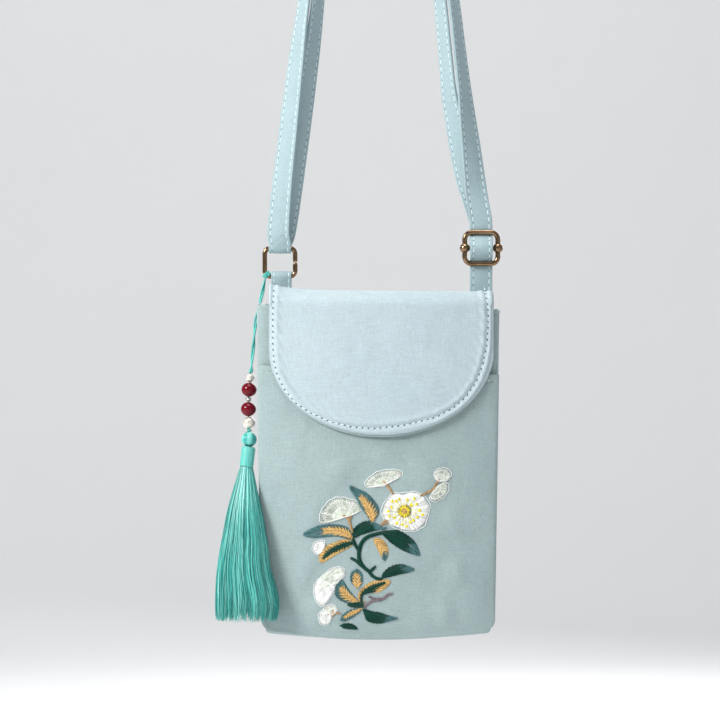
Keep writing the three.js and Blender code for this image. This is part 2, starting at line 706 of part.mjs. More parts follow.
// The skirt: locks side by side round an oval section that widens, with uneven ends
function tasselSkirt() {
  const perLock = 4;
  const count = lockCount * perLock;
  const rows = 9;
  const { at: head } = onString(string.skirt);
  const collar = wrapWidth / 2 - wrapWall - gap;
  const ringAt = (down, reach) => {
    const ringPoints = [];
    const wide = (tableAt(skirtRows, 'down', 'wide', down) * skirtSpread) / 2;
    const deep = (tableAt(skirtRows, 'down', 'deep', down) * skirtFlatness) / 2;
    for (let i = 0; i < count; i += 1) {
      const angle = (2 * Math.PI * i) / count;
      const lock = Math.floor(i / perLock);
      const lobe = Math.abs(Math.sin((Math.PI * ((i % perLock) + 0.5)) / perLock));
      const shape = (1 - lockGroove * (1 - lobe)) * reach;
      const ends = down * (1 - lockRagged * down ** 4 * (0.5 + 0.5 * Math.sin(lock * 2.4 + 1)));
      ringPoints.push(head.clone().add(vec(
        tableAt(skirtRows, 'down', 'aside', down) * skirtSpread + wide * shape * Math.cos(angle),
        -tableAt(skirtRows, 'down', 'forward', down) * skirtSpread + deep * shape * Math.sin(angle),
        -ends * skirtLength,
      )));
    }
    return ringPoints;
  };
  const rings = [];
  for (let k = 0; k <= rows; k += 1) rings.push(ringAt((k / rows) ** 0.9, 1));
  const inner = ringAt(1, 0.45).map((p) => p.add(vec(0, 0, lockRagged * skirtLength)));
  rings.push(inner);
  const middle = inner.reduce((sum, p) => sum.add(p), vec(0, 0, 0)).divideScalar(count);
  const skirt = skin(rings, head, middle);
  const { along } = onString(string.wrap);
  const coreLength = wrapHeight + 2 * skirtBelowWrap;
  const core = new THREE.CylinderGeometry(collar, collar, coreLength, 12);
  return join(skirt, placed(core, onString(string.wrap).at.addScaledVector(along, -skirtBelowWrap), along));
}

function wrapSleeve() {
  const [inside, outside, half] = [wrapWidth / 2 - wrapWall, wrapWidth / 2, wrapHeight / 2];
  const profile = [[inside, -half], [outside, -half + gap], [outside, half - gap], [inside, half], [inside, -half]];
  return new THREE.LatheGeometry(profile.map(([x, y]) => new THREE.Vector2(x, y)), 16);
}

// Finishes
const finish = (color, roughness, metalness = 0) => new THREE.MeshStandardMaterial({ color, roughness, metalness });
const bodyCloth = () => finish(0xb0c8ca, 0.85);
const flapCloth = () => finish(0xcddee4, 0.85);
const strapCloth = () => finish(0xb4cbd0, 0.85);
const brass = () => finish(0xa98a5c, 0.25, 1);
const silk = () => finish(0x3caa9b, 0.45);

const purse = new THREE.Group();

function add(name, geometry, material) {
  const mesh = new THREE.Mesh(geometry, material);
  mesh.name = name;
  purse.add(mesh);
}

add('main_pouch', mainPouch(), bodyCloth());
add('front_pocket', frontPocket(), bodyCloth());
add('flap', flap(), flapCloth());
add('ring_tab', ringTab(), strapCloth());
add('strap', bandSolid(strapStations(), strapWidth, strapThickness), strapCloth());
add('ring', ring(), brass());
add('slider_frame', sliderFrame(), brass());
add('slider_bar', sliderBar(), brass());
add('charm_hitch', charmHitch(), silk());
add('charm_cord', wire(cordPath, cordThickness / 2, 8, 18), silk());
add('cord_knot', stringBody(drilled(knotWidth, upperKnotHeight, beadHole, 5, 10), cordKnotAt), silk());
for (const bead of string.beads) {
  add(bead.name, stringBody(drilled(bead.width, bead.height, beadHole, 8, 14), bead.down),
    finish(bead.colour, bead.roughness, bead.name === 'bead_silver' ? 1 : 0));
}
add('lower_knot', stringBody(drilled(knotWidth, lowerKnotHeight, beadHole, 5, 10), string.lowerKnot), silk());
add('bead_thread', wire(new ThreadPath(), threadThickness / 2, 6, 16), silk());
add('tassel_head', stringBody(drilled(headWidth, headHeight, beadHole, 8, 14), string.head), silk());
add('tassel_wrap', stringBody(wrapSleeve(), string.wrap), silk());
add('tassel_skirt', tasselSkirt(), silk());

export default purse;
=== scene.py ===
"""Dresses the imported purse: sewn cloth, embroidery, plated hardware and a beaded silk charm."""

import math
import random

import bmesh
import bpy
import mathutils.noise as folds
from bpy.props import FloatProperty, FloatVectorProperty, IntProperty, PointerProperty
from mathutils import Matrix, Vector


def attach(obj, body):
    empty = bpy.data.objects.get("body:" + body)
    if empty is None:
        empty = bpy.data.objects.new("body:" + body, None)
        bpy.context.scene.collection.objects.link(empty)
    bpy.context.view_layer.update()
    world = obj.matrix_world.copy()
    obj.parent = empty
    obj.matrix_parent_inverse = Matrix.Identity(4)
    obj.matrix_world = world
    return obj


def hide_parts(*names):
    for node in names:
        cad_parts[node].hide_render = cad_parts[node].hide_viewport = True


bl_info = {
    "name": "Embroidered Cloth Purse",
    "version": (1, 0, 0),
    "blender": (4, 5, 0),
    "location": "3D View > Sidebar > Purse",
    "description": "Builds the looks of a cloth purse with embroidery and a beaded tassel",
    "category": "Object",
}

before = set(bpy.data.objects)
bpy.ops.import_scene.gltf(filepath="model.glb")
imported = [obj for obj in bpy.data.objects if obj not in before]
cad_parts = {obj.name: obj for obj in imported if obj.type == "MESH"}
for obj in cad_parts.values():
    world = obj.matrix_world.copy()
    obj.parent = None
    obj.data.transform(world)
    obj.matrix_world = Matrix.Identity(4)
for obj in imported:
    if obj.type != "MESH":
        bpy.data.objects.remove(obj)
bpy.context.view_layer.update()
MM = 0.001

# Sizes of the part's source, in millimetres
GAP = 0.3
CLOTH_WALL = 1.4
POUCH_WIDTH, POUCH_HEIGHT, POUCH_DEPTH = 124.8, 170.5, 15
SEAM_ROLL = 1.8
BOTTOM_NARROWING, BOTTOM_BOW, BOTTOM_CORNER, MOUTH_SLOPE = 5.4, 3.8, 7, 2.6
POCKET_BELOW_MOUTH, POCKET_SLOPE, POCKET_EASE = 30.2, 2.2, 2.4
FLAP_WIDTH, FLAP_THICKNESS, FLAP_RISE, FLAP_REACH, FLAP_ROUND = 114.6, 1.6, 7.6, 74.4, 44.4
FLAP_SHIFT, FLAP_BACK, FLAP_STAND, CORNER_LIFT, CORNER_LIFT_REACH = 1.7, 17, 1.6, 3.6, 14
STRAP_WIDTH, STRAP_THICKNESS, STRAP_DROP, LOOP_RADIUS = 11.6, 1.5, 302.7, 14.5
STRAP_TAIL, STRAP_SEWN_LENGTH = 12.5, 21
RING_OFFSET, RING_RISE, RING_WIRE, RING_HEIGHT = 50.4, 15.1, 2.45, 17.2
RING_SIDE_ROOM, RING_CORNER, RING_SLIT = 0.8, 3, 0.4
SLIDER_OFFSET, SLIDER_RISE, SLIDER_WIRE, SLIDER_SIDE_ROOM, SLIDER_CORNER = 53.1, 22.3, 2.6, 1.4, 3.7
BAR_WIRE, BAR_BALL, WEAVE_ROOM = 2.2, 5.2, 1.29
TAB_WIDTH, TAB_PLY, TAB_SHIFT = 10.4, 1.3, 0.7
UPPER_KNOT, LOWER_KNOT = 2.2, 1.2
BEAD_HOLE, HEAD_WIDTH, HEAD_HEIGHT = 1.6, 7.8, 7.4
WRAP_WIDTH, WRAP_HEIGHT, WRAP_WALL = 7.3, 10.4, 0.8
SKIRT_BELOW_WRAP, SKIRT_LENGTH, SKIRT_SPREAD, SKIRT_FLATNESS = 1, 77, 31.6, 12.4

BEADS = (
    ("bead_pearl_small", 4.8, 4.4),
    ("bead_red_upper", 7.9, 7.3),
    ("bead_silver", 3.5, 2.1),
    ("bead_red_lower", 7.9, 7.3),
    ("bead_pearl_large", 6.7, 6.1),
)

# Doubled strap runs, from the hardware (0) to the top bend (1): up, turn in degrees, spread, bow
LEFT_RUN = (
    (0, 0, 0, 0), (0.02, 12, 0.23, 0), (0.12, 29, 0.42, 0), (0.22, 36, 0.54, 0),
    (0.345, 47, 0.72, 0), (0.455, 60, 0.95, 0), (0.7, 80, 1, 0), (0.9, 90, 1, 0), (1, 90, 1, 0),
)
RIGHT_RUN = (
    (0, 0, 0, 0), (0.045, 8, 0.12, 0.1), (0.085, 19, 0.28, 0.18), (0.14, 31, 0.45, 0.22),
    (0.213, 45, 0.68, 0.24), (0.267, 54, 0.95, 0.24), (0.34, 59, 1, 0.18), (0.45, 63, 1, 0.09),
    (0.7, 80, 1, 0), (0.9, 90, 1, 0), (1, 90, 1, 0),
)
CORD_ROUTE = (
    (-0.9, -0.2, -2.5), (-1.9, -0.9, -8), (-3.2, -1.7, -13.6), (-4.5, -2.8, -19.2),
    (-5.5, -3.4, -24.5), (-6.1, -3.9, -30.5), (-6.6, -4.5, -37.2), (-7.2, -5.1, -42.8),
    (-7.5, -5.5, -46.4),
)
STRING_ROUTE = (
    (-7.6, -5.7, -48), (-8.3, -6.2, -54), (-8.9, -7, -62), (-9, -7.8, -70), (-8.6, -8.6, -79.5),
    (-8.8, -9.8, -87.5), (-9.9, -11.3, -98), (-10.6, -12.6, -106),
)
# Skirt of the tassel: down, wide, deep, aside, forward
SKIRT_ROWS = (
    (0, 0.21, 0.5, 0, 0), (0.1, 0.33, 0.66, -0.01, 0.05), (0.24, 0.5, 0.85, -0.02, 0.13),
    (0.45, 0.71, 0.95, -0.015, 0.22), (0.64, 0.84, 1, -0.03, 0.28), (0.87, 1, 1, 0.035, 0.33),
    (1, 0.96, 0.95, 0.02, 0.35),
)

FULL_TURN = 2 * math.pi
FOLD_Z = -STRAP_DROP
MOUTH_Z = FOLD_Z - FLAP_RISE
SEAM_HALF = CLOTH_WALL + SEAM_ROLL / 2


# Shapes of the cloth

def clamp(x, low=0.0, high=1.0):
    return max(low, min(high, x))


def mix(a, b, share):
    return a + (b - a) * share


def smooth(x, low, high):
    x = clamp((x - low) / (high - low))
    return x * x * (3 - 2 * x)


def table_at(rows, column, share):
    """A column of a table at a share, on a curve through its rows."""
    last = len(rows) - 1
    i = 0
    while i < last - 1 and share > rows[i + 1][0]:
        i += 1

    def slope(k):
        a, b = rows[max(k - 1, 0)], rows[min(k + 1, last)]
        return (b[column] - a[column]) / (b[0] - a[0])

    span = rows[i + 1][0] - rows[i][0]
    x = clamp((share - rows[i][0]) / span)
    start, stop = rows[i][column], rows[i + 1][column]
    return (
        (2 * x**3 - 3 * x**2 + 1) * start
        + (x**3 - 2 * x**2 + x) * span * slope(i)
        + (3 * x**2 - 2 * x**3) * stop
        + (x**3 - x**2) * span * slope(i + 1)
    )


def spline(points, steps):
    """A centripetal curve through the points, in even steps of length."""
    pts = [Vector(p) for p in points]
    pts = [pts[0] * 2 - pts[1]] + pts + [pts[-1] * 2 - pts[-2]]
    fine = []

    def between(p, q, start, stop, t):
        return p * ((stop - t) / (stop - start)) + q * ((t - start) / (stop - start))

    for i in range(1, len(pts) - 2):
        p0, p1, p2, p3 = pts[i - 1 : i + 3]
        t0, t1 = 0, max((p1 - p0).length ** 0.5, 1e-6)
        t2 = t1 + max((p2 - p1).length ** 0.5, 1e-6)
        t3 = t2 + max((p3 - p2).length ** 0.5, 1e-6)
        for k in range(16):
            t = mix(t1, t2, k / 16)
            a1, a2, a3 = (between(p0, p1, t0, t1, t), between(p1, p2, t1, t2, t),
                          between(p2, p3, t2, t3, t))
            fine.append(between(between(a1, a2, t0, t2, t), between(a2, a3, t1, t3, t), t1, t2, t))
    fine.append(pts[-2])
    return even_steps(fine, steps)


def lengths_along(points):
    """How far each point of a line is from its start."""
    far = [0.0]
    for a, b in zip(points, points[1:]):
        far.append(far[-1] + (b - a).length)
    return far


def walk(far, steps):
    """Even steps along a line of known lengths: the span, and the share of it, at each step."""
    i = 0
    for k in range(steps + 1):
        want = far[-1] * k / steps
        while i < len(far) - 2 and far[i + 1] < want:
            i += 1
        yield i, clamp((want - far[i]) / max(far[i + 1] - far[i], 1e-9))


def even_steps(points, steps):
    """The same line in even steps of length."""
    return [points[i].lerp(points[i + 1], share) for i, share in walk(lengths_along(points), steps)]


def bell(far, width):
    """A smooth hump that is 1 at no distance."""
    return math.exp(-((far / width) ** 2))


def around(a, b, angle):
    """A direction turned from a towards b."""
    return a * math.cos(angle) + b * math.sin(angle)


def heading_at(points, k):
    """Direction of a line at one of its points."""
    return (points[min(k + 1, len(points) - 1)] - points[max(k - 1, 0)]).normalized()


def quarter_round(share):
    """Height of a rounded rim from its foot at 0 to full height at 1."""
    return math.sqrt(max(0.0, 1 - (1 - clamp(share)) ** 2))


def length_of(points):
    return sum((b - a).length for a, b in zip(points, points[1:]))


def mouth_at(s):
    return MOUTH_Z - MOUTH_SLOPE * (s + 1) / 2


def bottom_at(s):
    return MOUTH_Z - POUCH_HEIGHT + BOTTOM_BOW * s * s


def half_width_at(t):
    corner = BOTTOM_CORNER / POUCH_HEIGHT
    into = clamp((t - 1 + corner) / corner)
    cut = BOTTOM_CORNER * (1 - math.sqrt(1 - into * into))
    return (POUCH_WIDTH - BOTTOM_NARROWING * t) / 2 - cut


def fullness_across(s):
    return (1 - min(abs(s), 1) ** 2.5) ** 0.8


def fullness_down(t):
    swell = 0.82 + 0.18 * math.sin(math.pi / 2 * clamp(t / 0.55))
    return swell * (1 - clamp(t) ** 8) ** 0.6


def half_depth_at(s, t):
    return SEAM_HALF + (POUCH_DEPTH / 2 - SEAM_HALF) * fullness_across(s) * fullness_down(t)


def pouch_point(s, t, y):
    return Vector((s * half_width_at(t), y, mix(mouth_at(s), bottom_at(s), t)))


def on_pouch(x, z):
    """Where a point of the front view lies on the pouch: its share across and down."""
    s, t = 2 * x / POUCH_WIDTH, 0
    for _ in range(3):
        t = clamp((mouth_at(s) - z) / (mouth_at(s) - bottom_at(s)), 0, 0.985)
        s = x / half_width_at(t)
    return s, t


def pocket_top_at(s):
    return MOUTH_Z - POCKET_BELOW_MOUTH - (MOUTH_SLOPE + POCKET_SLOPE) * (s + 1) / 2


def pocket_back(s, t):
    return half_depth_at(s, t) + GAP + POCKET_EASE * fullness_across(s) * fullness_down(t)


def pocket_front(s, t):
    return pocket_back(s, t) + CLOTH_WALL


def flap_end_at(share):
    return FOLD_Z - (FLAP_REACH - FLAP_ROUND) - FLAP_ROUND * math.sqrt(max(0, 1 - share * share))


def flap_back_at(x):
    return half_depth_at(on_pouch(x, MOUTH_Z)[0], 0) + GAP


def flap_fold(x, share):
    """Where the flap's middle sheet crosses the mouth: its rear, its front and its crest."""
    s, t = on_pouch(x, MOUTH_Z)
    lift = CORNER_LIFT * math.exp(-(share + 1) * FLAP_WIDTH / 2 / CORNER_LIFT_REACH)
    return (
        flap_back_at(x) + FLAP_THICKNESS / 2,
        -pocket_front(s, t) - GAP - FLAP_THICKNESS / 2,
        FOLD_Z + lift - FLAP_THICKNESS / 2,
    )


def flap_centre(share, v):
    """A point of the flap's middle sheet.

    v is 0 at the back seam, 0.1 to 0.5 over the mouth and 1 at the round end.
    """
    x = FLAP_SHIFT + share * FLAP_WIDTH / 2
    rear, front, crest = flap_fold(x, share)
    if v < 0.1:
        z = mix(MOUTH_Z - FLAP_BACK, MOUTH_Z, v / 0.1)
        s, t = on_pouch(x, z)
        return Vector((x, half_depth_at(s, t) + GAP + FLAP_THICKNESS / 2, z))
    if v < 0.5:
        angle = math.pi * (v - 0.1) / 0.4
        return Vector((x, mix(front, rear, 0.5 + math.cos(angle) / 2),
                       mix(MOUTH_Z, crest, math.sin(angle))))
    z = mix(MOUTH_Z, flap_end_at(share), (v - 0.5) / 0.5)
    s, t = on_pouch(x, z)
    stand = FLAP_STAND * clamp((MOUTH_Z - z) / (MOUTH_Z - flap_end_at(0))) ** 2
    return Vector((x, -pocket_front(s, t) - GAP - FLAP_THICKNESS / 2 - stand, z))


def belt_path(wheels, step):
    """A line that wraps round wheels as a band round bars. A wheel is (x, y, radius, turn)."""
    tangents = []
    for (ax, ay, ar, at), (bx, by, br, bt) in zip(wheels, wheels[1:]):
        across, up = bx - ax, by - ay
        tangents.append(math.atan2(up, across)
                        - math.asin((bt * br - at * ar) / math.hypot(across, up)))

    def touch(wheel, angle):
        x, y, radius, turn = wheel
        return Vector((x + turn * radius * math.sin(angle), y - turn * radius * math.cos(angle)))

    points = [touch(wheels[0], tangents[0])]
    for i in range(1, len(wheels)):
        wheel, arrive = wheels[i], tangents[i - 1]
        start, stop = points[-1], touch(wheel, arrive)
        straight = max(1, math.ceil((stop - start).length / (2 * step)))
        points += [start.lerp(stop, k / straight) for k in range(1, straight + 1)]
        if i == len(wheels) - 1:
            break
        sweep = wheel[3] * (tangents[i] - arrive)
        while sweep < 0:
            sweep += FULL_TURN
        arcs = max(1, math.ceil(sweep * wheel[2] / step))
        points += [touch(wheel, arrive + wheel[3] * sweep * k / arcs) for k in range(1, arcs + 1)]
    return points


# Places of the hardware, from the cloth that carries it

def back_face_at(x):
    return flap_back_at(x) + FLAP_THICKNESS + GAP


TAB_X = TAB_SHIFT - RING_OFFSET
PLY_STEP = TAB_PLY + GAP
LAYER_STEP = STRAP_THICKNESS + GAP
RING_WIDTH = STRAP_WIDTH + 2 * RING_SIDE_ROOM + 2 * RING_WIRE
RING_Y = back_face_at(TAB_X + TAB_WIDTH / 2) + TAB_PLY + GAP / 2
RING_Z = FOLD_Z + RING_RISE
RING_PITCH = (RING_HEIGHT - RING_WIRE) / 2
STRAP_BACK = back_face_at(SLIDER_OFFSET - STRAP_WIDTH / 2) + STRAP_THICKNESS / 2
BAR_REACH = SLIDER_WIRE / 2 + GAP + STRAP_THICKNESS / 2
FIXED_REACH = BAR_WIRE / 2 + GAP + STRAP_THICKNESS / 2
SLIDER_PITCH = (FIXED_REACH + LAYER_STEP + BAR_REACH) * WEAVE_ROOM
SLIDER_Y = STRAP_BACK - BAR_REACH
SLIDER_Z = FOLD_Z + SLIDER_RISE
SLIDER_WIDTH = STRAP_WIDTH + 2 * SLIDER_SIDE_ROOM + 2 * SLIDER_WIRE
PAIR_RADIUS = LOOP_RADIUS + STRAP_THICKNESS + GAP / 2
LEFT_FOOT = Vector((-RING_OFFSET, RING_Y, RING_Z + RING_PITCH + RING_WIRE))
RIGHT_FOOT = Vector((SLIDER_OFFSET, SLIDER_Y + BAR_REACH + LAYER_STEP,
                     SLIDER_Z + STRAP_TAIL + STRAP_THICKNESS))
HITCH_AT = Vector((
    -RING_OFFSET - ((RING_WIDTH - RING_WIRE) / 2 - RING_CORNER + RING_CORNER * math.sqrt(0.5)),
    RING_Y,
    RING_Z - (RING_PITCH - RING_CORNER + RING_CORNER * math.sqrt(0.5)),
))


def pair_arc():
    """The arc of the doubled strap at its top bend, with its two ends."""
    path = belt_path([
        (LEFT_FOOT.x, LEFT_FOOT.z, 0, 1),
        (0, -LOOP_RADIUS, PAIR_RADIUS, -1),
        (RIGHT_FOOT.x, RIGHT_FOOT.z, 0, 1),
    ], 2)
    return [p for p in path if abs(math.hypot(p.x, p.y + LOOP_RADIUS) - PAIR_RADIUS) < 1e-4]


def run_layer(foot, top, rows, outer, foot_parting):
    """One layer of a run from its foot to the top bend: stations of centre and width direction."""
    steps = 90
    hand = 1 if foot.x > 0 else -1
    line = Vector((top.x - foot.x, top.y - foot.z)).normalized()
    aside = Vector((hand * line.y, 0, -hand * line.x))
    sign = 1 if outer else -1
    stations = []
    for k in range(steps + 1):
        up = (k / steps) ** 1.25
        turn = math.radians(table_at(rows, 1, up))
        spread = table_at(rows, 2, up)
        bow = table_at(rows, 3, up) * STRAP_WIDTH
        edge = STRAP_WIDTH / 2 * (1 - spread) * math.sin(turn)
        parting = spread * STRAP_WIDTH * math.cos(turn) / 2 + LAYER_STEP / 2 * math.sin(turn)
        extra = (foot_parting - LAYER_STEP / 2) * (1 - smooth(up, 0, 0.06))
        depth = edge + LAYER_STEP / 2 * math.cos(turn) + extra
        at = Vector((mix(foot.x, top.x, up), mix(foot.y, 0, up), mix(foot.z, top.y, up)))
        at += aside * (sign * parting - bow) + Vector((0, -sign * depth, 0))
        side = aside * -math.cos(turn) + Vector((0, -sign * math.sin(turn), 0))
        stations.append((at, side))
    return stations


def strap_stations():
    """The whole strap, from its seam on the back to its end on the slider's centre bar."""
    arc = pair_arc()
    left_top, right_top = arc[0], arc[-1]

    def in_plane(points, x, side):
        return [(Vector((x, p.x, p.y)), Vector((side, 0, 0))) for p in points]

    weave = in_plane(belt_path([
        (STRAP_BACK, MOUTH_Z - STRAP_SEWN_LENGTH + 4, 0, 1),
        (SLIDER_Y, SLIDER_Z - SLIDER_PITCH, BAR_REACH, 1),
        (SLIDER_Y, SLIDER_Z, FIXED_REACH + LAYER_STEP, -1),
        (SLIDER_Y, SLIDER_Z + SLIDER_PITCH, BAR_REACH, 1),
        (SLIDER_Y + BAR_REACH, RIGHT_FOOT.z - 2, 0, 1),
    ], 0.5), SLIDER_OFFSET, -1)
    outer_right = run_layer(RIGHT_FOOT, right_top, RIGHT_RUN, True, LAYER_STEP)
    ring_reach = RING_WIRE / 2 + GAP + STRAP_THICKNESS / 2
    outer_left = run_layer(LEFT_FOOT, left_top, LEFT_RUN, True, ring_reach)
    inner_left = run_layer(LEFT_FOOT, left_top, LEFT_RUN, False, ring_reach)
    inner_right = run_layer(RIGHT_FOOT, right_top, RIGHT_RUN, False, LAYER_STEP)

    def over_top(radius, side):
        out = [Vector((p.x, p.y + LOOP_RADIUS)).normalized() * radius for p in arc[1:-1]]
        return [(Vector((p.x, 0, p.y - LOOP_RADIUS)), Vector((0, side, 0))) for p in out]

    ring_wrap = in_plane(belt_path([
        (RING_Y - ring_reach, LEFT_FOOT.z - RING_WIRE / 2, 0, 1),
        (RING_Y, RING_Z + RING_PITCH, ring_reach, 1),
        (RING_Y + ring_reach, LEFT_FOOT.z - RING_WIRE / 2, 0, 1),
    ], 0.5), -RING_OFFSET, 1)
    anchor = in_plane(belt_path([
        (SLIDER_Y + BAR_REACH + 2 * LAYER_STEP, RIGHT_FOOT.z - 2, 0, 1),
        (SLIDER_Y, SLIDER_Z + SLIDER_PITCH, BAR_REACH + 2 * LAYER_STEP, -1),
        (SLIDER_Y, SLIDER_Z, FIXED_REACH, -1),
        (SLIDER_Y, SLIDER_Z + SLIDER_PITCH, BAR_REACH + LAYER_STEP, 1),
        (SLIDER_Y + BAR_REACH + LAYER_STEP, SLIDER_Z + STRAP_TAIL, 0, 1),
    ], 0.5), SLIDER_OFFSET, -1)
    return (
        weave
        + outer_right
        + over_top(PAIR_RADIUS + LAYER_STEP / 2, -1)[::-1]
        + outer_left[::-1]
        + ring_wrap
        + inner_left
        + over_top(PAIR_RADIUS - LAYER_STEP / 2, 1)
        + inner_right[::-1]
        + anchor
    )


# Meshes and materials

def place_mesh(name, points, faces):
    """A mesh object from points in millimetres, at the origin."""
    mesh = bpy.data.meshes.new(name)
    mesh.from_pydata([tuple(c * MM for c in p) for p in points], [], faces)
    mesh.validate()
    mesh.polygons.foreach_set("use_smooth", [True] * len(mesh.polygons))
    mesh.update()
    piece = bpy.data.objects.new(name, mesh)
    bpy.context.scene.collection.objects.link(piece)
    return piece


def outward(piece):
    """Merges doubles and points every face outwards."""
    shape = bmesh.new()
    shape.from_mesh(piece.data)
    bmesh.ops.remove_doubles(shape, verts=shape.verts, dist=1e-7)
    bmesh.ops.recalc_face_normals(shape, faces=shape.faces)
    if shape.calc_volume(signed=True) < 0:
        bmesh.ops.reverse_faces(shape, faces=shape.faces)
    shape.to_mesh(piece.data)
    shape.free()
    return piece


def slab(name, across, down, front, back):
    """A sheet with a front and a back over u and v, closed all round its rim."""
    points, faces = [], []
    for face in (front, back):
        points += [face(i / across, j / down) for j in range(down + 1) for i in range(across + 1)]

    def quad(*corners):
        faces.append(tuple(
            side * (across + 1) * (down + 1) + j * (across + 1) + i for side, i, j in corners))

    for j in range(down):
        for i in range(across):
            quad((0, i, j), (0, i + 1, j), (0, i + 1, j + 1), (0, i, j + 1))
            quad((1, i, j), (1, i, j + 1), (1, i + 1, j + 1), (1, i + 1, j))
        quad((0, 0, j), (0, 0, j + 1), (1, 0, j + 1), (1, 0, j))
        quad((0, across, j), (1, across, j), (1, across, j + 1), (0, across, j + 1))
    for i in range(across):
        quad((0, i, 0), (1, i, 0), (1, i + 1, 0), (0, i + 1, 0))
        quad((0, i, down), (0, i + 1, down), (1, i + 1, down), (1, i, down))
    return outward(place_mesh(name, points, faces))


def swept(name, rings, closed=False):
    """Rings of equal size joined into one skin."""
    count = len(rings[0])
    points = [p for ring in rings for p in ring]
    faces = []
    spans = len(rings) if closed else len(rings) - 1
    for k in range(spans):
        n = (k + 1) % len(rings)
        for i in range(count):
            j = (i + 1) % count
            faces.append((k * count + i, k * count + j, n * count + j, n * count + i))
    if not closed:
        faces.append(tuple(range(count))[::-1])
        faces.append(tuple((len(rings) - 1) * count + i for i in range(count)))
    return outward(place_mesh(name, points, faces))


def turned(name, profile, sides, at, along):
    """A body turned from a closed profile of radius and height, about an axis through a point."""
    axis = Vector(along).normalized()
    turn = Vector((0, 0, 1)).rotation_difference(axis)
    rings = []
    for k in range(sides):
        angle = FULL_TURN * k / sides
        rings.append([at + turn @ Vector((r * math.cos(angle), r * math.sin(angle), h)) for r,
                      h in profile])
    return swept(name, rings, closed=True)


def round_profile(wide, high, edge, steps, power=1.0, rib=0.0):
    """Radius and height, pole to pole, of a round body that is open by an angle at its poles."""
    out = []
    for k in range(steps + 1):
        angle = mix(edge, math.pi - edge, k / steps)
        radius = wide * math.sin(angle) ** power * (1 + rib * math.cos(angle * 9))
        out.append((radius, -math.cos(angle) * high))
    return out


def carried(points):
    """Directions along a line, each with two across it that turn as little as they can."""
    frames = []
    last = None
    for k in range(len(points)):
        along = heading_at(points, k)
        if last is None:
            seed = Vector((0, 1, 0)) if abs(along.y) < 0.9 else Vector((1, 0, 0))
        else:
            seed = last
        across = (seed - along * seed.dot(along)).normalized()
        frames.append((along, across, along.cross(across)))
        last = across
    return frames


def tube(name, points, radius, sides):
    """A round tube along a line; the radius may be a number or one for each point."""
    rings = []
    for k, (_, across, other) in enumerate(carried(points)):
        r = radius[k] if isinstance(radius, list) else radius
        rings.append([points[k] + around(across, other, FULL_TURN * i / sides) * r
                      for i in range(sides)])
    return swept(name, rings)


def joined(name, pieces):
    """Several meshes as one."""
    points, faces = [], []
    for piece in pieces:
        base = len(points)
        points += [v.co / MM for v in piece.data.vertices]
        faces += [tuple(base + i for i in f.vertices) for f in piece.data.polygons]
        old = piece.data
        bpy.data.objects.remove(piece)
        bpy.data.meshes.remove(old)
    return place_mesh(name, points, faces)


def finished(piece, material, slot, *nodes):
    """Gives a piece its material, seats it on the frame and hides the solids it stands for."""
    if material is not None:
        piece.data.materials.clear()
        piece.data.materials.append(material)
    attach(piece, "root")
    if nodes:
        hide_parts(*nodes)
    return piece


class Shader:
    """Short hand for building a material's nodes."""

    def __init__(self, name):
        self.material = bpy.data.materials.new(name)
        self.material.use_nodes = True
        self.tree = self.material.node_tree
        self.tree.nodes.clear()
        self.out = self.tree.nodes.new("ShaderNodeOutputMaterial")
        self.bsdf = self.tree.nodes.new("ShaderNodeBsdfPrincipled")
        self.tree.links.new(self.bsdf.outputs[0], self.out.inputs["Surface"])

    def add(self, kind, **inputs):
        made = self.tree.nodes.new(kind)
        for key, value in inputs.items():
            self.plug(made.inputs[key.replace("_", " ")], value)
        return made

    def plug(self, socket, value):
        if isinstance(value, bpy.types.NodeSocket):
            self.tree.links.new(value, socket)
        else:
            socket.default_value = value

    def set(self, **inputs):
        for key, value in inputs.items():
            self.plug(self.bsdf.inputs[key.replace("_", " ")], value)

    def noise(self, vector, scale, detail=2.0, roughness=0.5):
        made = self.add("ShaderNodeTexNoise", Vector=vector, Scale=scale, Detail=detail,
                        Roughness=roughness)
        return made.outputs["Fac"]

    def math(self, operation, a, b=0.0):
        made = self.tree.nodes.new("ShaderNodeMath")
        made.operation = operation
        for k, value in enumerate((a, b)):
            self.plug(made.inputs[k], value)
        return made.outputs[0]

    def total(self, a, share_a, b, share_b):
        return self.math("ADD", self.math("MULTIPLY", a, share_a),
                         self.math("MULTIPLY", b, share_b))

    def attribute(self, name):
        made = self.tree.nodes.new("ShaderNodeAttribute")
        made.attribute_name = name
        return made

    def blend(self, share, a, b, kind="MIX"):
        made = self.tree.nodes.new("ShaderNodeMix")
        made.data_type = "RGBA"
        made.blend_type = kind
        self.plug(made.inputs["Factor"], share)
        self.plug(made.inputs["A"], a)
        self.plug(made.inputs["B"], b)
        return made.outputs["Result"]

    def ramp(self, value, stops):
        made = self.tree.nodes.new("ShaderNodeValToRGB")
        ramp = made.color_ramp
        while len(ramp.elements) < len(stops):
            ramp.elements.new(0.5)
        for element, (at, colour) in zip(ramp.elements, stops):
            element.position = at
            element.color = colour
        self.plug(made.inputs[0], value)
        return made.outputs[0]

    def greys(self, value, low, high, dark=0):
        return self.ramp(value, [(low, rgb((dark,) * 3)), (high, rgb((1, 1, 1)))])

    def place(self, scale=(1, 1, 1)):
        where = self.tree.nodes.new("ShaderNodeTexCoord").outputs["Object"]
        made = self.add("ShaderNodeMapping", Vector=where)
        made.inputs["Scale"].default_value = scale
        return made.outputs[0]

    def bump(self, height, strength, distance, normal=None):
        made = self.add("ShaderNodeBump", Height=height, Strength=strength, Distance=distance)
        if normal is not None:
            self.plug(made.inputs["Normal"], normal)
        return made.outputs[0]


def rgb(colour, gain=1.0):
    return (colour[0] * gain, colour[1] * gain, colour[2] * gain, 1.0)


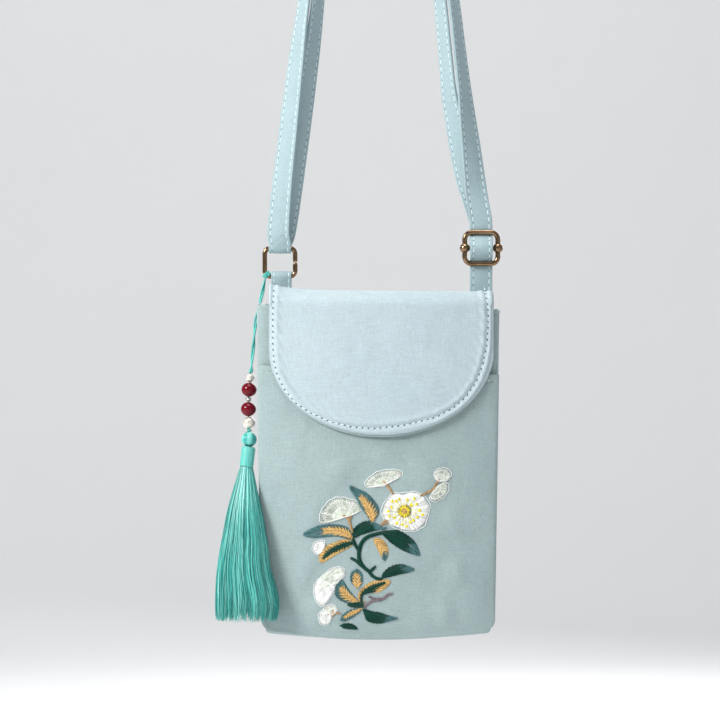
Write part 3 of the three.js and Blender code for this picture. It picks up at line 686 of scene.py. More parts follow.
def sewing_cloth(name, colour, pitch):
    """Plain woven cotton and linen: crossing yarns with slubs, a soft nap and faint uneven dye."""
    s = Shader(name)
    where = s.place()
    split = s.add("ShaderNodeSeparateXYZ", Vector=where)
    x, y, z = split.outputs
    drift = s.math("MULTIPLY", s.math("SUBTRACT", s.noise(where, 300, 2), 0.5), 0.6)
    per_metre = FULL_TURN / (pitch * MM)

    def yarns(axis, lean):
        run = s.math("ADD", axis, s.math("MULTIPLY", y, lean))
        return s.math("SINE", s.math("ADD", s.math("MULTIPLY", run, per_metre), drift))

    weave = s.math("MULTIPLY", yarns(x, 0.5), yarns(z, 0.3))
    slub_down = s.noise(s.place((2100, 2100, 190)), 1.0, 3)
    slub_across = s.noise(s.place((190, 190, 2300)), 1.0, 3)
    slubs = s.total(slub_down, 0.5, slub_across, 0.5)
    speck = s.noise(where, 2600, 2, 0.6)
    cloud = s.noise(where, 28, 3, 0.55)
    deep, pale = rgb(colour, 0.74), rgb(colour, 1.12)
    base = s.blend(s.greys(s.total(slubs, 0.42, speck, 0.58), 0.34, 0.66), deep, pale)
    shade = s.ramp(cloud, [(0.3, (0.93, 0.945, 0.95, 1)), (0.7, (1, 1, 1, 1))])
    s.set(Base_Color=s.blend(1.0, base, shade, "MULTIPLY"), Roughness=0.88)
    s.set(Sheen_Weight=0.18, Sheen_Roughness=0.45, Sheen_Tint=(0.9, 0.97, 1, 1),
          Specular_IOR_Level=0.25)
    fine = s.bump(s.total(weave, 0.5, slubs, 1.6), 0.5, 0.00016)
    s.set(Normal=s.bump(s.noise(where, 95, 3, 0.5), 0.3, 0.0014, fine))
    return s.material


def dyed_and_shaded_thread(name):
    """Embroidery thread in each stitch's tint, its dye with painted shade on some leaf stitches,
    with a fine twist and a silky gloss.
    """
    s = Shader(name)
    where = s.place()
    speck = s.greys(s.noise(where, 3000, 2, 0.6), 0.3, 0.7, 0.8)
    colour = s.blend(1.0, s.attribute("stitch_tint").outputs["Color"], speck, "MULTIPLY")
    s.set(Base_Color=colour, Roughness=0.36, Sheen_Weight=0.03, Sheen_Roughness=0.3)
    s.set(Specular_IOR_Level=0.18, Normal=s.bump(s.noise(where, 9000, 1), 0.2, 0.00005))
    return s.material


def seam_thread(name, colour):
    """Matt sewing thread."""
    s = Shader(name)
    where = s.place()
    twist = s.noise(where, 5200, 2, 0.6)
    s.set(Base_Color=s.blend(twist, rgb(colour, 0.78), rgb(colour, 1.08)), Roughness=0.7)
    s.set(Sheen_Weight=0.2, Sheen_Roughness=0.4, Normal=s.bump(twist, 0.4, 0.00008))
    return s.material


def painted_hole_shade(name, colour):
    """Painted shade for a needle hole between two stitches: a dark colour standing in for the shade
    inside the hole.
    """
    s = Shader(name)
    where = s.place()
    s.set(Base_Color=s.blend(s.noise(where, 3000, 2), rgb(colour, 0.8), rgb(colour, 1.2)),
          Roughness=0.95)
    s.set(Specular_IOR_Level=0.1)
    return s.material


def light_gold(name, colour):
    """Light gold plate, darker in patches as painted reflection of a dark room, with faint brush
    lines.
    """
    s = Shader(name)
    where = s.place()
    fine = s.noise(where, 900, 3, 0.6)
    dark_reflection_patches = s.noise(where, 240, 3, 0.5)
    # The darker patches are painted reflection: a dark room that the pale scene does not hold
    base = s.blend(s.greys(dark_reflection_patches, 0.35, 0.75), rgb(colour), rgb(colour, 0.42))
    s.set(Base_Color=base, Metallic=1.0)
    rough = s.add("ShaderNodeMapRange", Value=fine)
    rough.inputs["To Min"].default_value = 0.1
    rough.inputs["To Max"].default_value = 0.2
    s.set(Roughness=rough.outputs[0], Normal=s.bump(fine, 0.08, 0.00005))
    return s.material


def pearl(name, colour):
    """Cream pearl with a soft lustre under a clear coat."""
    s = Shader(name)
    where = s.place()
    cloud = s.noise(where, 260, 3, 0.5)
    s.set(Base_Color=s.blend(cloud, rgb(colour, 0.85), rgb(colour, 1.05)), Roughness=0.3,
          Metallic=0.45)
    s.set(Coat_Weight=1.0, Coat_Roughness=0.06, Sheen_Weight=0.15, Sheen_Tint=(1, 0.9, 0.85, 1))
    s.set(Subsurface_Weight=0.15, Subsurface_Scale=0.002)
    s.set(Normal=s.bump(s.noise(where, 900, 2), 0.05, 0.0001))
    return s.material


def agate(name, colour):
    """Deep red polished bead with cloudy depth."""
    s = Shader(name)
    where = s.place()
    cloud = s.noise(where, 420, 4, 0.6)
    s.set(Base_Color=s.blend(cloud, rgb(colour, 0.6), rgb(colour, 1.25)), Roughness=0.07)
    s.set(Specular_IOR_Level=0.26)
    s.set(Normal=s.bump(s.noise(where, 1600, 2), 0.02, 0.0001))
    return s.material


def worn_silver(name):
    """Small cast silver spacer with dark in its hollows."""
    s = Shader(name)
    where = s.place()
    pits = s.noise(where, 1600, 3, 0.6)
    s.set(Base_Color=s.blend(pits, (0.32, 0.31, 0.29, 1), (0.78, 0.77, 0.74, 1)), Metallic=1.0,
          Roughness=0.28)
    s.set(Normal=s.bump(pits, 0.35, 0.00012))
    return s.material


def teal_silk(name, colour, roughness, tinted=False):
    """Glossy teal silk, lighter and darker from strand to strand; when tinted, the threads' tints
    add painted highlight and painted shade.
    """
    s = Shader(name)
    strand = tone = s.noise(s.place((1500, 1500, 60)), 1.0, 3, 0.6)
    if tinted:
        tone = s.total(strand, 0.35, s.attribute("stitch_tint").outputs["Fac"], 0.65)
    red, green, blue = colour
    base = s.ramp(tone, [
        (0.1, rgb((red * 0.15, green * 0.34, blue * 0.35))),
        (0.5, rgb(colour)),
        (0.95, rgb((red * 3 + 0.14, min(green * 1.65, 1), min(blue * 1.7, 1)))),
    ])
    s.set(Base_Color=base, Roughness=roughness, Specular_IOR_Level=0.7)
    s.set(Sheen_Weight=0.45, Sheen_Roughness=0.25, Sheen_Tint=(0.75, 1, 0.95, 1))
    s.set(Normal=s.bump(strand, 0.3, 0.0001))
    return s.material


# Threads and stitches, made with Geometry Nodes

def link_chain(tree, *links):
    for source, out, target, into in links:
        tree.links.new(source.outputs[out], target.inputs[into])


def new_tree(name, sockets):
    tree = bpy.data.node_groups.new(name, "GeometryNodeTree")
    tree.interface.new_socket("Geometry", in_out="INPUT", socket_type="NodeSocketGeometry")
    ids = {}
    for label, kind, default in sockets:
        made = tree.interface.new_socket(label, in_out="INPUT", socket_type=kind)
        if default is not None:
            made.default_value = default
        ids[label] = made.identifier
    tree.interface.new_socket("Geometry", in_out="OUTPUT", socket_type="NodeSocketGeometry")
    return tree, ids, tree.nodes.new("NodeGroupInput"), tree.nodes.new("NodeGroupOutput")


def thread_tree():
    """Every line of the mesh becomes a thread, as thick as its own girth says."""
    tree, ids, given, result = new_tree("Threads along lines", [
        ("Thread radius", "NodeSocketFloat", 0.2 * MM),
        ("Sides", "NodeSocketInt", 5),
        ("Material", "NodeSocketMaterial", None),
    ])
    curve = tree.nodes.new("GeometryNodeMeshToCurve")
    girth = tree.nodes.new("GeometryNodeInputNamedAttribute")
    girth.data_type = "FLOAT"
    girth.inputs["Name"].default_value = "girth"
    size = tree.nodes.new("ShaderNodeMath")
    size.operation = "MULTIPLY"
    radius = tree.nodes.new("GeometryNodeSetCurveRadius")
    circle = tree.nodes.new("GeometryNodeCurvePrimitiveCircle")
    circle.inputs["Radius"].default_value = 1.0
    solid = tree.nodes.new("GeometryNodeCurveToMesh")
    solid.inputs["Fill Caps"].default_value = True
    even = tree.nodes.new("GeometryNodeSetShadeSmooth")
    real = tree.nodes.new("GeometryNodeRealizeInstances")
    paint = tree.nodes.new("GeometryNodeSetMaterial")
    link_chain(
        tree,
        (given, "Geometry", curve, "Mesh"),
        (curve, "Curve", radius, "Curve"),
        (girth, "Attribute", size, 0),
        (given, "Thread radius", size, 1),
        (size, 0, radius, "Radius"),
        (size, 0, solid, "Scale"),
        (given, "Sides", circle, "Resolution"),
        (radius, "Curve", solid, "Curve"),
        (circle, "Curve", solid, "Profile Curve"),
        (solid, "Mesh", even, "Geometry"),
        (even, "Geometry", real, "Geometry"),
        (real, "Geometry", paint, "Geometry"),
        (given, "Material", paint, "Material"),
        (paint, "Geometry", result, "Geometry"),
    )
    return tree, ids


def stitch_tree():
    """A row of short stitches along each line, laid flat on the cloth by the face direction."""
    tree, ids, given, result = new_tree("Stitch row", [
        ("Pitch", "NodeSocketFloat", 3 * MM),
        ("Length", "NodeSocketFloat", 2.2 * MM),
        ("Width", "NodeSocketFloat", 0.5 * MM),
        ("Height", "NodeSocketFloat", 0.4 * MM),
        ("Slant", "NodeSocketFloat", 0.0),
        ("Seed", "NodeSocketInt", 4),
        ("Material", "NodeSocketMaterial", None),
    ])
    curve = tree.nodes.new("GeometryNodeMeshToCurve")
    even = tree.nodes.new("GeometryNodeResampleCurve")
    even.mode = "LENGTH"
    tangent = tree.nodes.new("GeometryNodeInputTangent")
    face = tree.nodes.new("GeometryNodeInputNamedAttribute")
    face.data_type = "FLOAT_VECTOR"
    face.inputs["Name"].default_value = "face_out"
    along = tree.nodes.new("FunctionNodeAlignRotationToVector")
    along.axis = "X"
    lay = tree.nodes.new("FunctionNodeAlignRotationToVector")
    lay.axis = "Z"
    lay.pivot_axis = "X"
    jitter = tree.nodes.new("FunctionNodeRandomValue")
    jitter.data_type = "FLOAT"
    low, high = [i for i in jitter.inputs if i.name in ("Min", "Max") and i.type == "VALUE"][:2]
    low.default_value, high.default_value = -0.1, 0.1
    angle = tree.nodes.new("ShaderNodeMath")
    angle.operation = "ADD"
    euler = tree.nodes.new("ShaderNodeCombineXYZ")
    to_turn = tree.nodes.new("FunctionNodeEulerToRotation")
    turn = tree.nodes.new("FunctionNodeRotateRotation")
    turn.rotation_space = "LOCAL"
    bead = tree.nodes.new("GeometryNodeMeshUVSphere")
    bead.inputs["Segments"].default_value = 7
    bead.inputs["Rings"].default_value = 5
    bead.inputs["Radius"].default_value = 0.5
    lie = tree.nodes.new("GeometryNodeTransform")
    lie.inputs["Rotation"].default_value = (0, math.pi / 2, 0)
    size = tree.nodes.new("ShaderNodeCombineXYZ")
    spread = tree.nodes.new("GeometryNodeInstanceOnPoints")
    real = tree.nodes.new("GeometryNodeRealizeInstances")
    shade = tree.nodes.new("GeometryNodeSetShadeSmooth")
    paint = tree.nodes.new("GeometryNodeSetMaterial")
    tree.links.new(next(o for o in jitter.outputs if o.type == "VALUE"), angle.inputs[1])
    link_chain(
        tree,
        (given, "Geometry", curve, "Mesh"),
        (curve, "Curve", even, "Curve"),
        (given, "Pitch", even, "Length"),
        (even, "Curve", spread, "Points"),
        (tangent, "Tangent", along, "Vector"),
        (along, "Rotation", lay, "Rotation"),
        (face, "Attribute", lay, "Vector"),
        (given, "Seed", jitter, "Seed"),
        (given, "Slant", angle, 0),
        (angle, 0, euler, "Z"),
        (euler, 0, to_turn, 0),
        (lay, "Rotation", turn, "Rotation"),
        (to_turn, 0, turn, "Rotate By"),
        (turn, "Rotation", spread, "Rotation"),
        (bead, "Mesh", lie, "Geometry"),
        (lie, "Geometry", spread, "Instance"),
        (given, "Length", size, "X"),
        (given, "Width", size, "Y"),
        (given, "Height", size, "Z"),
        (size, 0, spread, "Scale"),
        (spread, "Instances", real, "Geometry"),
        (real, "Geometry", shade, "Geometry"),
        (shade, "Geometry", paint, "Geometry"),
        (given, "Material", paint, "Material"),
        (paint, "Geometry", result, "Geometry"),
    )
    return tree, ids


TREES = {}


def tree_named(kind):
    if kind not in TREES:
        TREES[kind] = {"threads": thread_tree, "stitches": stitch_tree}[kind]()
    return TREES[kind]


def baked(name, lines, kind, values, tints=None, girths=None, faces_out=None):
    """Lines in millimetres run through one of the trees and turned into a plain mesh."""
    points, edges = [], []
    for line in lines:
        base = len(points)
        points += line
        edges += [(base + k, base + k + 1) for k in range(len(line) - 1)]
    mesh = bpy.data.meshes.new(name + "_lines")
    mesh.from_pydata([tuple(c * MM for c in p) for p in points], edges, [])
    if tints is not None:
        layer = mesh.attributes.new("stitch_tint", "FLOAT_COLOR", "POINT")
        flat = []
        for line, tint in zip(lines, tints):
            flat += [c for _ in line for c in (tint[0], tint[1], tint[2], 1.0)]
        layer.data.foreach_set("color", flat)
    if kind == "threads":
        layer = mesh.attributes.new("girth", "FLOAT", "POINT")
        flat = [g for line in girths for g in line] if girths else [1.0] * len(points)
        layer.data.foreach_set("value", flat)
    if faces_out is not None:
        layer = mesh.attributes.new("face_out", "FLOAT_VECTOR", "POINT")
        layer.data.foreach_set("vector", [c for line in faces_out for n in line for c in n])
    holder = bpy.data.objects.new(name + "_lines", mesh)
    bpy.context.scene.collection.objects.link(holder)
    tree, ids = tree_named(kind)
    grow = holder.modifiers.new("Grow", "NODES")
    grow.node_group = tree
    for label, value in values.items():
        grow[ids[label]] = value
    bpy.context.view_layer.update()
    graph = bpy.context.evaluated_depsgraph_get()
    made = bpy.data.meshes.new_from_object(holder.evaluated_get(graph))
    made.name = name
    piece = bpy.data.objects.new(name, made)
    bpy.context.scene.collection.objects.link(piece)
    bpy.data.objects.remove(holder)
    bpy.data.meshes.remove(mesh)
    if not made.polygons:
        raise RuntimeError(name + " came out empty")
    return piece


# Cloth surfaces that more than one piece follows

def rumple(x, z, size, seed):
    """Small even folds of soft cloth, in millimetres."""
    near = folds.noise(Vector((x / 34 + seed, z / 46, seed)))
    fine = folds.noise(Vector((x / 11 + seed, z / 15, seed + 7)))
    return size * (near + 0.35 * fine)


# Picture points of the front view: the column at x = 0, rows from z = 0 to the picture's top, and
# the millimetres from one point to the next
PICTURE_MIDDLE, PICTURE_RISE, PICTURE_STEP = 378, 300, 0.512
HEM_DEPTH, SAG_Z = 3.4, -352
# Middle of the embroidery and how far it reaches, where its stitches draw the cloth in
SEWN_AT, SEWN_HALF = (2, -438), (37, 50)


def pocket_y(x, z):
    """Depth of the slip pocket's face: slack folds, and the draw-in round its embroidery."""
    s, t = on_pouch(x, z)
    s = clamp(s, -1, 1)
    near_rim = smooth(min((1 - abs(s)) * 60, (1 - t) * 160), 0, 9)
    hem = smooth(pocket_top_at(s) - z, 0, 10)
    sag = 0.5 * bell(z - SAG_Z, 9) * math.cos(x / 13)
    across, up = (x - SEWN_AT[0]) / SEWN_HALF[0], (z - SEWN_AT[1]) / SEWN_HALF[1]
    ridges = 0.55 + 0.45 * math.sin(13 * math.atan2(up, across) + 3 * x / SEWN_HALF[0])
    drawn = -0.9 * ridges * bell(math.hypot(across, up) - 1.04, 0.15)
    return -pocket_front(s, t) + near_rim * (rumple(x, z, 0.85, 3) + hem * sag + drawn)


def face_direction(depth, x, z):
    """Outward direction of a front surface given as depth over x and z."""
    step = 0.6
    across = Vector((2 * step, depth(x + step, z) - depth(x - step, z), 0))
    up = Vector((0, depth(x, z + step) - depth(x, z - step), 2 * step))
    return across.cross(up).normalized()


def on_photo(px, py):
    """A point of the front view, from where it shows on a 720 wide picture."""
    return (px - PICTURE_MIDDLE) * PICTURE_STEP, -(py + PICTURE_RISE) * PICTURE_STEP


FLAP_ROW = (
    (274.5, 289), (273.6, 300), (273.3, 322), (273.5, 345), (274.3, 360), (277.5, 374), (285, 389),
    (296, 402.5), (310, 412), (331, 421.5), (353, 426.5), (375, 428), (405, 424.5), (435, 417),
    (452, 408), (465, 397), (475.5, 382), (482, 365), (486, 347), (487.6, 325), (487.4, 308),
    (485.5, 296), (484.5, 289),
)


def flap_face(x, z):
    """Depth of the flap's outer face in front of the mouth."""
    share = clamp((x - FLAP_SHIFT) / (FLAP_WIDTH / 2), -0.999, 0.999)
    if z < MOUTH_Z:
        v = 0.5 + 0.5 * clamp((MOUTH_Z - z) / (MOUTH_Z - flap_end_at(share)))
        return flap_centre(share, v).y - FLAP_THICKNESS / 2
    rear, front, crest = flap_fold(x, share)
    high = clamp((z - MOUTH_Z) / (crest + FLAP_THICKNESS / 2 - MOUTH_Z), 0, 0.995)
    return mix((front + rear) / 2, front - FLAP_THICKNESS / 2, math.sqrt(1 - high * high))


ROW_LINE = even_steps([Vector((*on_photo(*p), 0)) for p in FLAP_ROW], 260)


def from_row(x, z):
    """Distance of a point of the flap's front from its row of stitches."""
    return min(math.hypot(x - p.x, z - p.y) for p in ROW_LINE)


def flap_relief(x, z):
    """The stitched groove, the full rolled edge outside it and a little slack inside, outwards."""
    far = from_row(x, z)
    edge = (FLAP_WIDTH / 2) - abs(x - FLAP_SHIFT)
    groove = -0.38 * bell(far, 0.75)
    roll = 0.4 * bell(far - 2.1, 1.2)
    slack = rumple(x, z, 0.5, 11) * smooth(far, 1, 12)
    puckers = 0.16 * math.sin(x * 1.3 + z * 0.9) * bell(far - 2.4, 3.2)
    return groove + roll + slack + puckers * smooth(edge, 0, 2)


# Pieces

def sewn_pouch(sizes):
    """The pouch: rounded side seams with a crease, a turned hem at its open mouth, a lining."""
    across, down, inset = 96, 110, 2.3

    def level(x, t):
        share = x / (POUCH_WIDTH / 2)
        return mix(mouth_at(share), bottom_at(share), t)

    def loop(t, depth_of, width_less, low=0.0, narrow=1.0, crease=0.35):
        half = half_width_at(t) - width_less
        ring = []
        for side in (-1, 1):
            for i in range(across + 1):
                u = i / across
                s = side * -math.cos(math.pi * u)
                y = depth_of(s, t)
                x = s * (half - inset)
                shift = rumple(x, t * 170, 0.35, 5 + side) * (1 - abs(s) ** 4) * (1 - t**6)
                ring.append(Vector((x, side * (y + shift) * narrow, level(x, t) - low)))
            for k in range(1, 8):
                angle = math.pi * k / 8
                bulge = math.sin(angle) * (1 - crease * bell(angle - math.pi / 2, 0.28))
                x = side * (half - inset + inset * bulge)
                y = side * depth_of(1, t) * math.cos(angle)
                ring.append(Vector((x, y * narrow, level(x, t) - low)))
        return ring

    rings = []
    end = 1 - inset / POUCH_HEIGHT
    for k in range(5, 0, -1):
        angle = math.pi / 2 * k / 5
        drawn_in, below = inset * (1 - math.cos(angle)), inset * math.sin(angle)
        rings.append(loop(end, half_depth_at, drawn_in, below, max(math.cos(angle), 0.02)))
    for j in range(down + 1):
        rings.append(loop(end * math.sin(math.pi / 2 * (1 - j / down)) ** 1.15, half_depth_at, 0))

    def inner(s, t):
        return max(half_depth_at(s, t) - CLOTH_WALL, 0.25)

    for k in range(1, 5):
        angle = math.pi * k / 4
        less = CLOTH_WALL * (1 - math.cos(angle)) / 2
        lift = 0.7 * math.sin(angle)
        rings.append(loop(0.0, lambda s, t, less=less: half_depth_at(s, t) - less, less,
                          low=-lift, crease=0.0))
    for j in range(1, 31):
        t = (j / 30) * 0.955
        rings.append(loop(t, inner, CLOTH_WALL + 0.8 * smooth(t, 0, 0.1), crease=0.0))
    finished(swept("pouch_cloth_body", rings), sizes["cloth"], "pouch_cloth", "main_pouch")
    corner_edges(sizes)


def corner_edges(sizes):
    """The turned out pale edges of the lining at the two corners of the mouth."""
    for name, px_from, px_to, py_from, py_to in (
        ("lining_corner_right", 491.5, 499.8, 310.2, 311.4),
        ("lining_corner_left", 258.5, 270, 304.5, 305.5),
    ):
        line, girths = [], []
        for k in range(25):
            share = k / 24
            x, z = on_photo(mix(px_from, px_to, share), mix(py_from, py_to, share))
            y, wave = -1.2 + 0.3 * math.sin(7 * share), 0.35 * math.sin(11 * share + px_from)
            line.append(Vector((x, y, z + wave)))
            full = math.sin(math.pi * mix(0.12, 0.88, share)) ** 0.5
            girths.append(0.75 * full + 0.12 * math.sin(k * 1.7))
        # They take the flap's cloth, whose lighter colour is painted light
        finished(tube(name, line, girths, 12), sizes["flap_cloth"], "flap_cloth")


def slip_pocket(sizes):
    """The pocket panel, with a folded hem and edges caught in the side seams."""
    def face(front):
        def point(u, v):
            s = math.sin(math.pi * (u - 0.5))
            top = (mouth_at(s) - pocket_top_at(s)) / (mouth_at(s) - bottom_at(s))
            t = mix(top, 1, v**1.1)
            flat = pouch_point(s, t, 0)
            x, z = flat.x, flat.z
            below = pocket_top_at(s) - z
            rim = min((1 - abs(s)) * 60, (1 - t) * 165)
            close = quarter_round(rim / 1.6)
            hem = quarter_round(below / 0.7)
            fold = 0.42 * (1 - smooth(below, HEM_DEPTH - 0.4, HEM_DEPTH + 0.4))
            fold -= 0.32 * bell(below - HEM_DEPTH, 0.45)
            outer = pocket_y(x, z) - fold * clamp(rim / 3)
            back = -pocket_back(s, t)
            middle = mix(outer, back, 0.5)
            full = clamp(close) * clamp(hem + 0.05)
            y = middle + ((outer if front else back) - middle) * full
            return Vector((x, min(y, -SEAM_HALF + 0.6), z))

        return point

    piece = slab("slip_pocket_cloth", 170, 210, face(True), face(False))
    finished(piece, sizes["cloth"], "pouch_cloth", "front_pocket")


def flap_outline_room(share, v):
    """Distance to the flap's nearest edge in the front view."""
    x = share * FLAP_WIDTH / 2
    side = FLAP_WIDTH / 2 - abs(x)
    if v < 0.5:
        return side
    z = mix(MOUTH_Z, flap_end_at(share), (v - 0.5) / 0.5)
    centre = FOLD_Z - (FLAP_REACH - FLAP_ROUND)
    if z > centre:
        return side
    far = math.hypot(x / (FLAP_WIDTH / 2), (z - centre) / FLAP_ROUND)
    return max(0.0, (1 - far)) * FLAP_ROUND


def flap_ply(name, centre_out, half, left, right, short, relief, cloth, counts):
    """One ply of the flap, offset outwards from the middle line and drawn in from the outline."""
    def face(side):
        def point(u, v):
            share = mix(left, right, 0.5 + 0.5 * math.sin(math.pi * (u - 0.5)))
            w = (1 - (1 - v) ** 1.35) * short
            at = flap_centre(share, w)
            a, b = flap_centre(share, min(w + 0.004, 1)), flap_centre(share, max(w - 0.004, 0))
            along = a - b
            out = Vector((0, along.z, -along.y))
            out = out.normalized() if out.length > 1e-9 else Vector((0, -1, 0))
            room = min((share - left) * FLAP_WIDTH / 2, (right - share) * FLAP_WIDTH / 2)
            room = min(room, flap_outline_room(share, w)
                       - flap_outline_room(0, short) * (1 if w > 0.5 else 0))
            room = max(room, 0)
            if w > 0.97 * short:
                room = min(room, (short - w) * (MOUTH_Z - flap_end_at(share)) * 2)
            rim = quarter_round(room)
            lift = relief(at.x, at.z) if w > 0.3 else rumple(at.x, at.z, 0.3, 4)
            lift *= clamp(room / 0.8)
            return at + out * (centre_out + side * half * max(rim, 0.12) + lift)

        return point

    piece = slab(name, counts[0], counts[1], face(1), face(-1))
    piece.data.materials.append(cloth)
    return piece


def sewn_flap(sizes):
    """The flap: a front ply with a stitched edge over a facing that shows as a thin rim."""
    # The front ply takes the flap's cloth, painted lighter than the facing's body cloth
    front = flap_ply("flap_front_cloth", centre_out=0.32, half=0.5, left=-1.0, right=0.996,
                     short=0.992,
                     relief=flap_relief, cloth=sizes["flap_cloth"], counts=(110, 150))
    facing = flap_ply("flap_facing_cloth", centre_out=-0.42, half=0.36, left=-0.985, right=1.0,
                      short=1.0,
                      relief=lambda x, z: rumple(x, z, 0.12, 2), cloth=sizes["cloth"],
                      counts=(60, 90))
    finished(front, None, "flap_cloth", "flap")
    finished(facing, None, "flap_cloth")


def band_rings(stations, width, thickness, groove_at):
    """Sections of a folded band: rounded edges, a groove under each row of stitches."""
    shape = []
    half, thin = width / 2, thickness / 2
    marks = [-half + 0.35, -half + groove_at - 0.7, -half + groove_at, -half + groove_at + 0.7, 0,
             half - groove_at - 0.7, half - groove_at, half - groove_at + 0.7, half - 0.35]
    dip = {2: 0.16, 6: 0.16, 4: -0.1}
    for k, w in enumerate(marks):
        shape.append((w, thin - dip.get(k, 0)))
    shape += [(half - 0.08, thin * 0.75), (half, 0.14), (half - 0.22, 0), (half, -0.14),
              (half - 0.08, -thin * 0.75)]
    for k, w in reversed(list(enumerate(marks))):
        shape.append((w, -thin + dip.get(k, 0)))
    shape += [(-half + 0.08, -thin * 0.75), (-half, 0), (-half + 0.08, thin * 0.75)]
    rings, frames = [], []
    centres = [at for at, _ in stations]
    for k, (at, side) in enumerate(stations):
        along = heading_at(centres, k)
        normal = along.cross(side).normalized()
        broad = normal.cross(along).normalized()
        frames.append((at, normal, broad))
        rings.append([at + broad * w + normal * n for w, n in shape])
    return rings, frames


def even_stations(stations, step):
    """Stations at even steps, with their directions between."""
    far = lengths_along([at for at, _ in stations])
    out = []
    for i, share in walk(far, int(far[-1] / step)):
        (at, side), (next_at, next_side) = stations[i], stations[i + 1]
        out.append((at.lerp(next_at, share), side.lerp(next_side, share).normalized()))
    return out


def band_rows(frames, width, thickness, inset, clear):
    """Stitch lines of a band on both faces, with their face directions."""
    lines, outs = [], []
    for face in (1, -1):
        for hand in (1, -1):
            line, out = [], []
            for at, normal, broad in frames:
                line.append(at + broad * hand * (width / 2 - inset)
                            + normal * face * (thickness / 2 + clear))
                out.append(normal * face)
            lines.append(line)
            outs.append(out)
    return lines, outs


def stitch_steps(line, outs, pitch):
    """A line in eight steps a stitch: four steps off both ends fall between the stitches."""
    steps = int(length_of(line) / pitch) * 8
    even = even_steps(line, steps)
    faces = [outs[round(k / steps * (len(outs) - 1))] for k in range(steps + 1)]
    return even, faces, length_of(even) / steps * 8 * 0.9999


def marks(name, lines, outs, pitch, shape, material, slot):
    """Short marks along lines; shape is length, width, height and slant."""
    length, width, height, slant = shape
    finished(baked(name, lines, "stitches", {
        "Pitch": pitch * MM, "Length": length * MM, "Width": width * MM, "Height": height * MM,
        "Slant": slant, "Material": material,
    }, faces_out=outs), None, slot)


def sewn_rows(name, rows, stitch, hole, sunk, slot, sizes):
    """Stitches along stepped lines, and dark marks of painted shade for the needle holes between
    them, sunk into the cloth.
    """
    lines, outs, pitches = zip(*rows)
    marks(name + "_stitches", lines, outs, pitches[0], stitch, sizes["thread"], slot)
    between = [out[4:-4] for out in outs]
    hole_shade_spots = [[p - o * sunk for p, o in zip(line[4:-4], out)] for line, out in zip(lines, between)]
    marks(name + "_needle_holes", hole_shade_spots, between, pitches[0], hole, sizes["hole"], slot)


def stitched_band(name, stations, width, thickness, inset, pitch, node, sizes):
    """A folded band with a row of stitches near each edge of both faces."""
    rings, frames = band_rings(stations, width, thickness, inset)
    finished(swept(name, rings), sizes["strap_cloth"], "strap_cloth", node)
    rows = [stitch_steps(line, out, pitch) for line,
            out in zip(*band_rows(frames, width, thickness, inset, -0.12))]
    sewn_rows(name, rows, (2.7, 0.42, 0.36, 0.05), (0.72, 0.56, 0.24, 0.5), 0.04, "strap_cloth",
              sizes)


def woven_strap(sizes):
    """The long strap, in even stations."""
    stations = even_stations(strap_stations(), 1.6)
    stitched_band("strap_band", stations, STRAP_WIDTH, STRAP_THICKNESS, 1.75, 3.7, "strap", sizes)


def ring_tab(sizes):
    """The tab that runs up, round the ring's foot and down again."""
    low, bar_z, bend = MOUTH_Z - FLAP_BACK + GAP, RING_Z - RING_PITCH, FOLD_Z - 2
    path = belt_path([
        (RING_Y - PLY_STEP / 2, low, 0, 1),
        (RING_Y - PLY_STEP / 2, bend, 0, 1),
        (RING_Y, bar_z, RING_WIRE / 2 + GAP + TAB_PLY / 2, -1),
        (RING_Y + PLY_STEP / 2, bend, 0, 1),
        (RING_Y + PLY_STEP / 2, low, 0, 1),
    ], 0.4)
    stations = even_stations([(Vector((TAB_X, p.x, p.y)), Vector((1, 0, 0))) for p in path], 0.8)
    stitched_band("ring_tab_cloth", stations, TAB_WIDTH, TAB_PLY, 1.4, 3.2, "ring_tab", sizes)


def rounded_frame(width, height, corner, slit, steps):
    """A rounded rectangle in the front view, open by a slit in the middle of its right side."""
    sides = [(height - 2 * corner) / 2, width - 2 * corner, height - 2 * corner, width - 2 * corner,
             (height - 2 * corner) / 2]
    p, angle, line = Vector((width / 2, 0)), 0.0, [Vector((width / 2, 0))]
    for k, side in enumerate(sides):
        ahead = Vector((-math.sin(angle), math.cos(angle)))
        pieces = max(2, int(side / 0.8))
        line += [p + ahead * side * (i + 1) / pieces for i in range(pieces)]
        p = line[-1]
        if k == 4:
            break
        centre = p - Vector((math.cos(angle), math.sin(angle))) * corner
        for i in range(1, 11):
            a = angle + math.pi / 2 * i / 10
            line.append(centre + Vector((math.cos(a), math.sin(a))) * corner)
        p, angle = line[-1], angle + math.pi / 2
    whole = even_steps(line, steps * 4)
    total = length_of(whole)
    cut = max(1, round(slit / 2 / (total / (steps * 4))))
    return even_steps([Vector((q.x, 0, q.y)) for q in whole[cut:-cut]], steps)


def wire_piece(name, at, path, radius, node, sizes):
    """Round wire with its two ends chamfered."""
    radii = [radius] * len(path)
    for k, share in enumerate((0.72, 0.93)):
        radii[k] = radii[-1 - k] = radius * share
    finished(tube(name, [p + at for p in path], radii, 24), sizes["metal"], "light_metal", node)


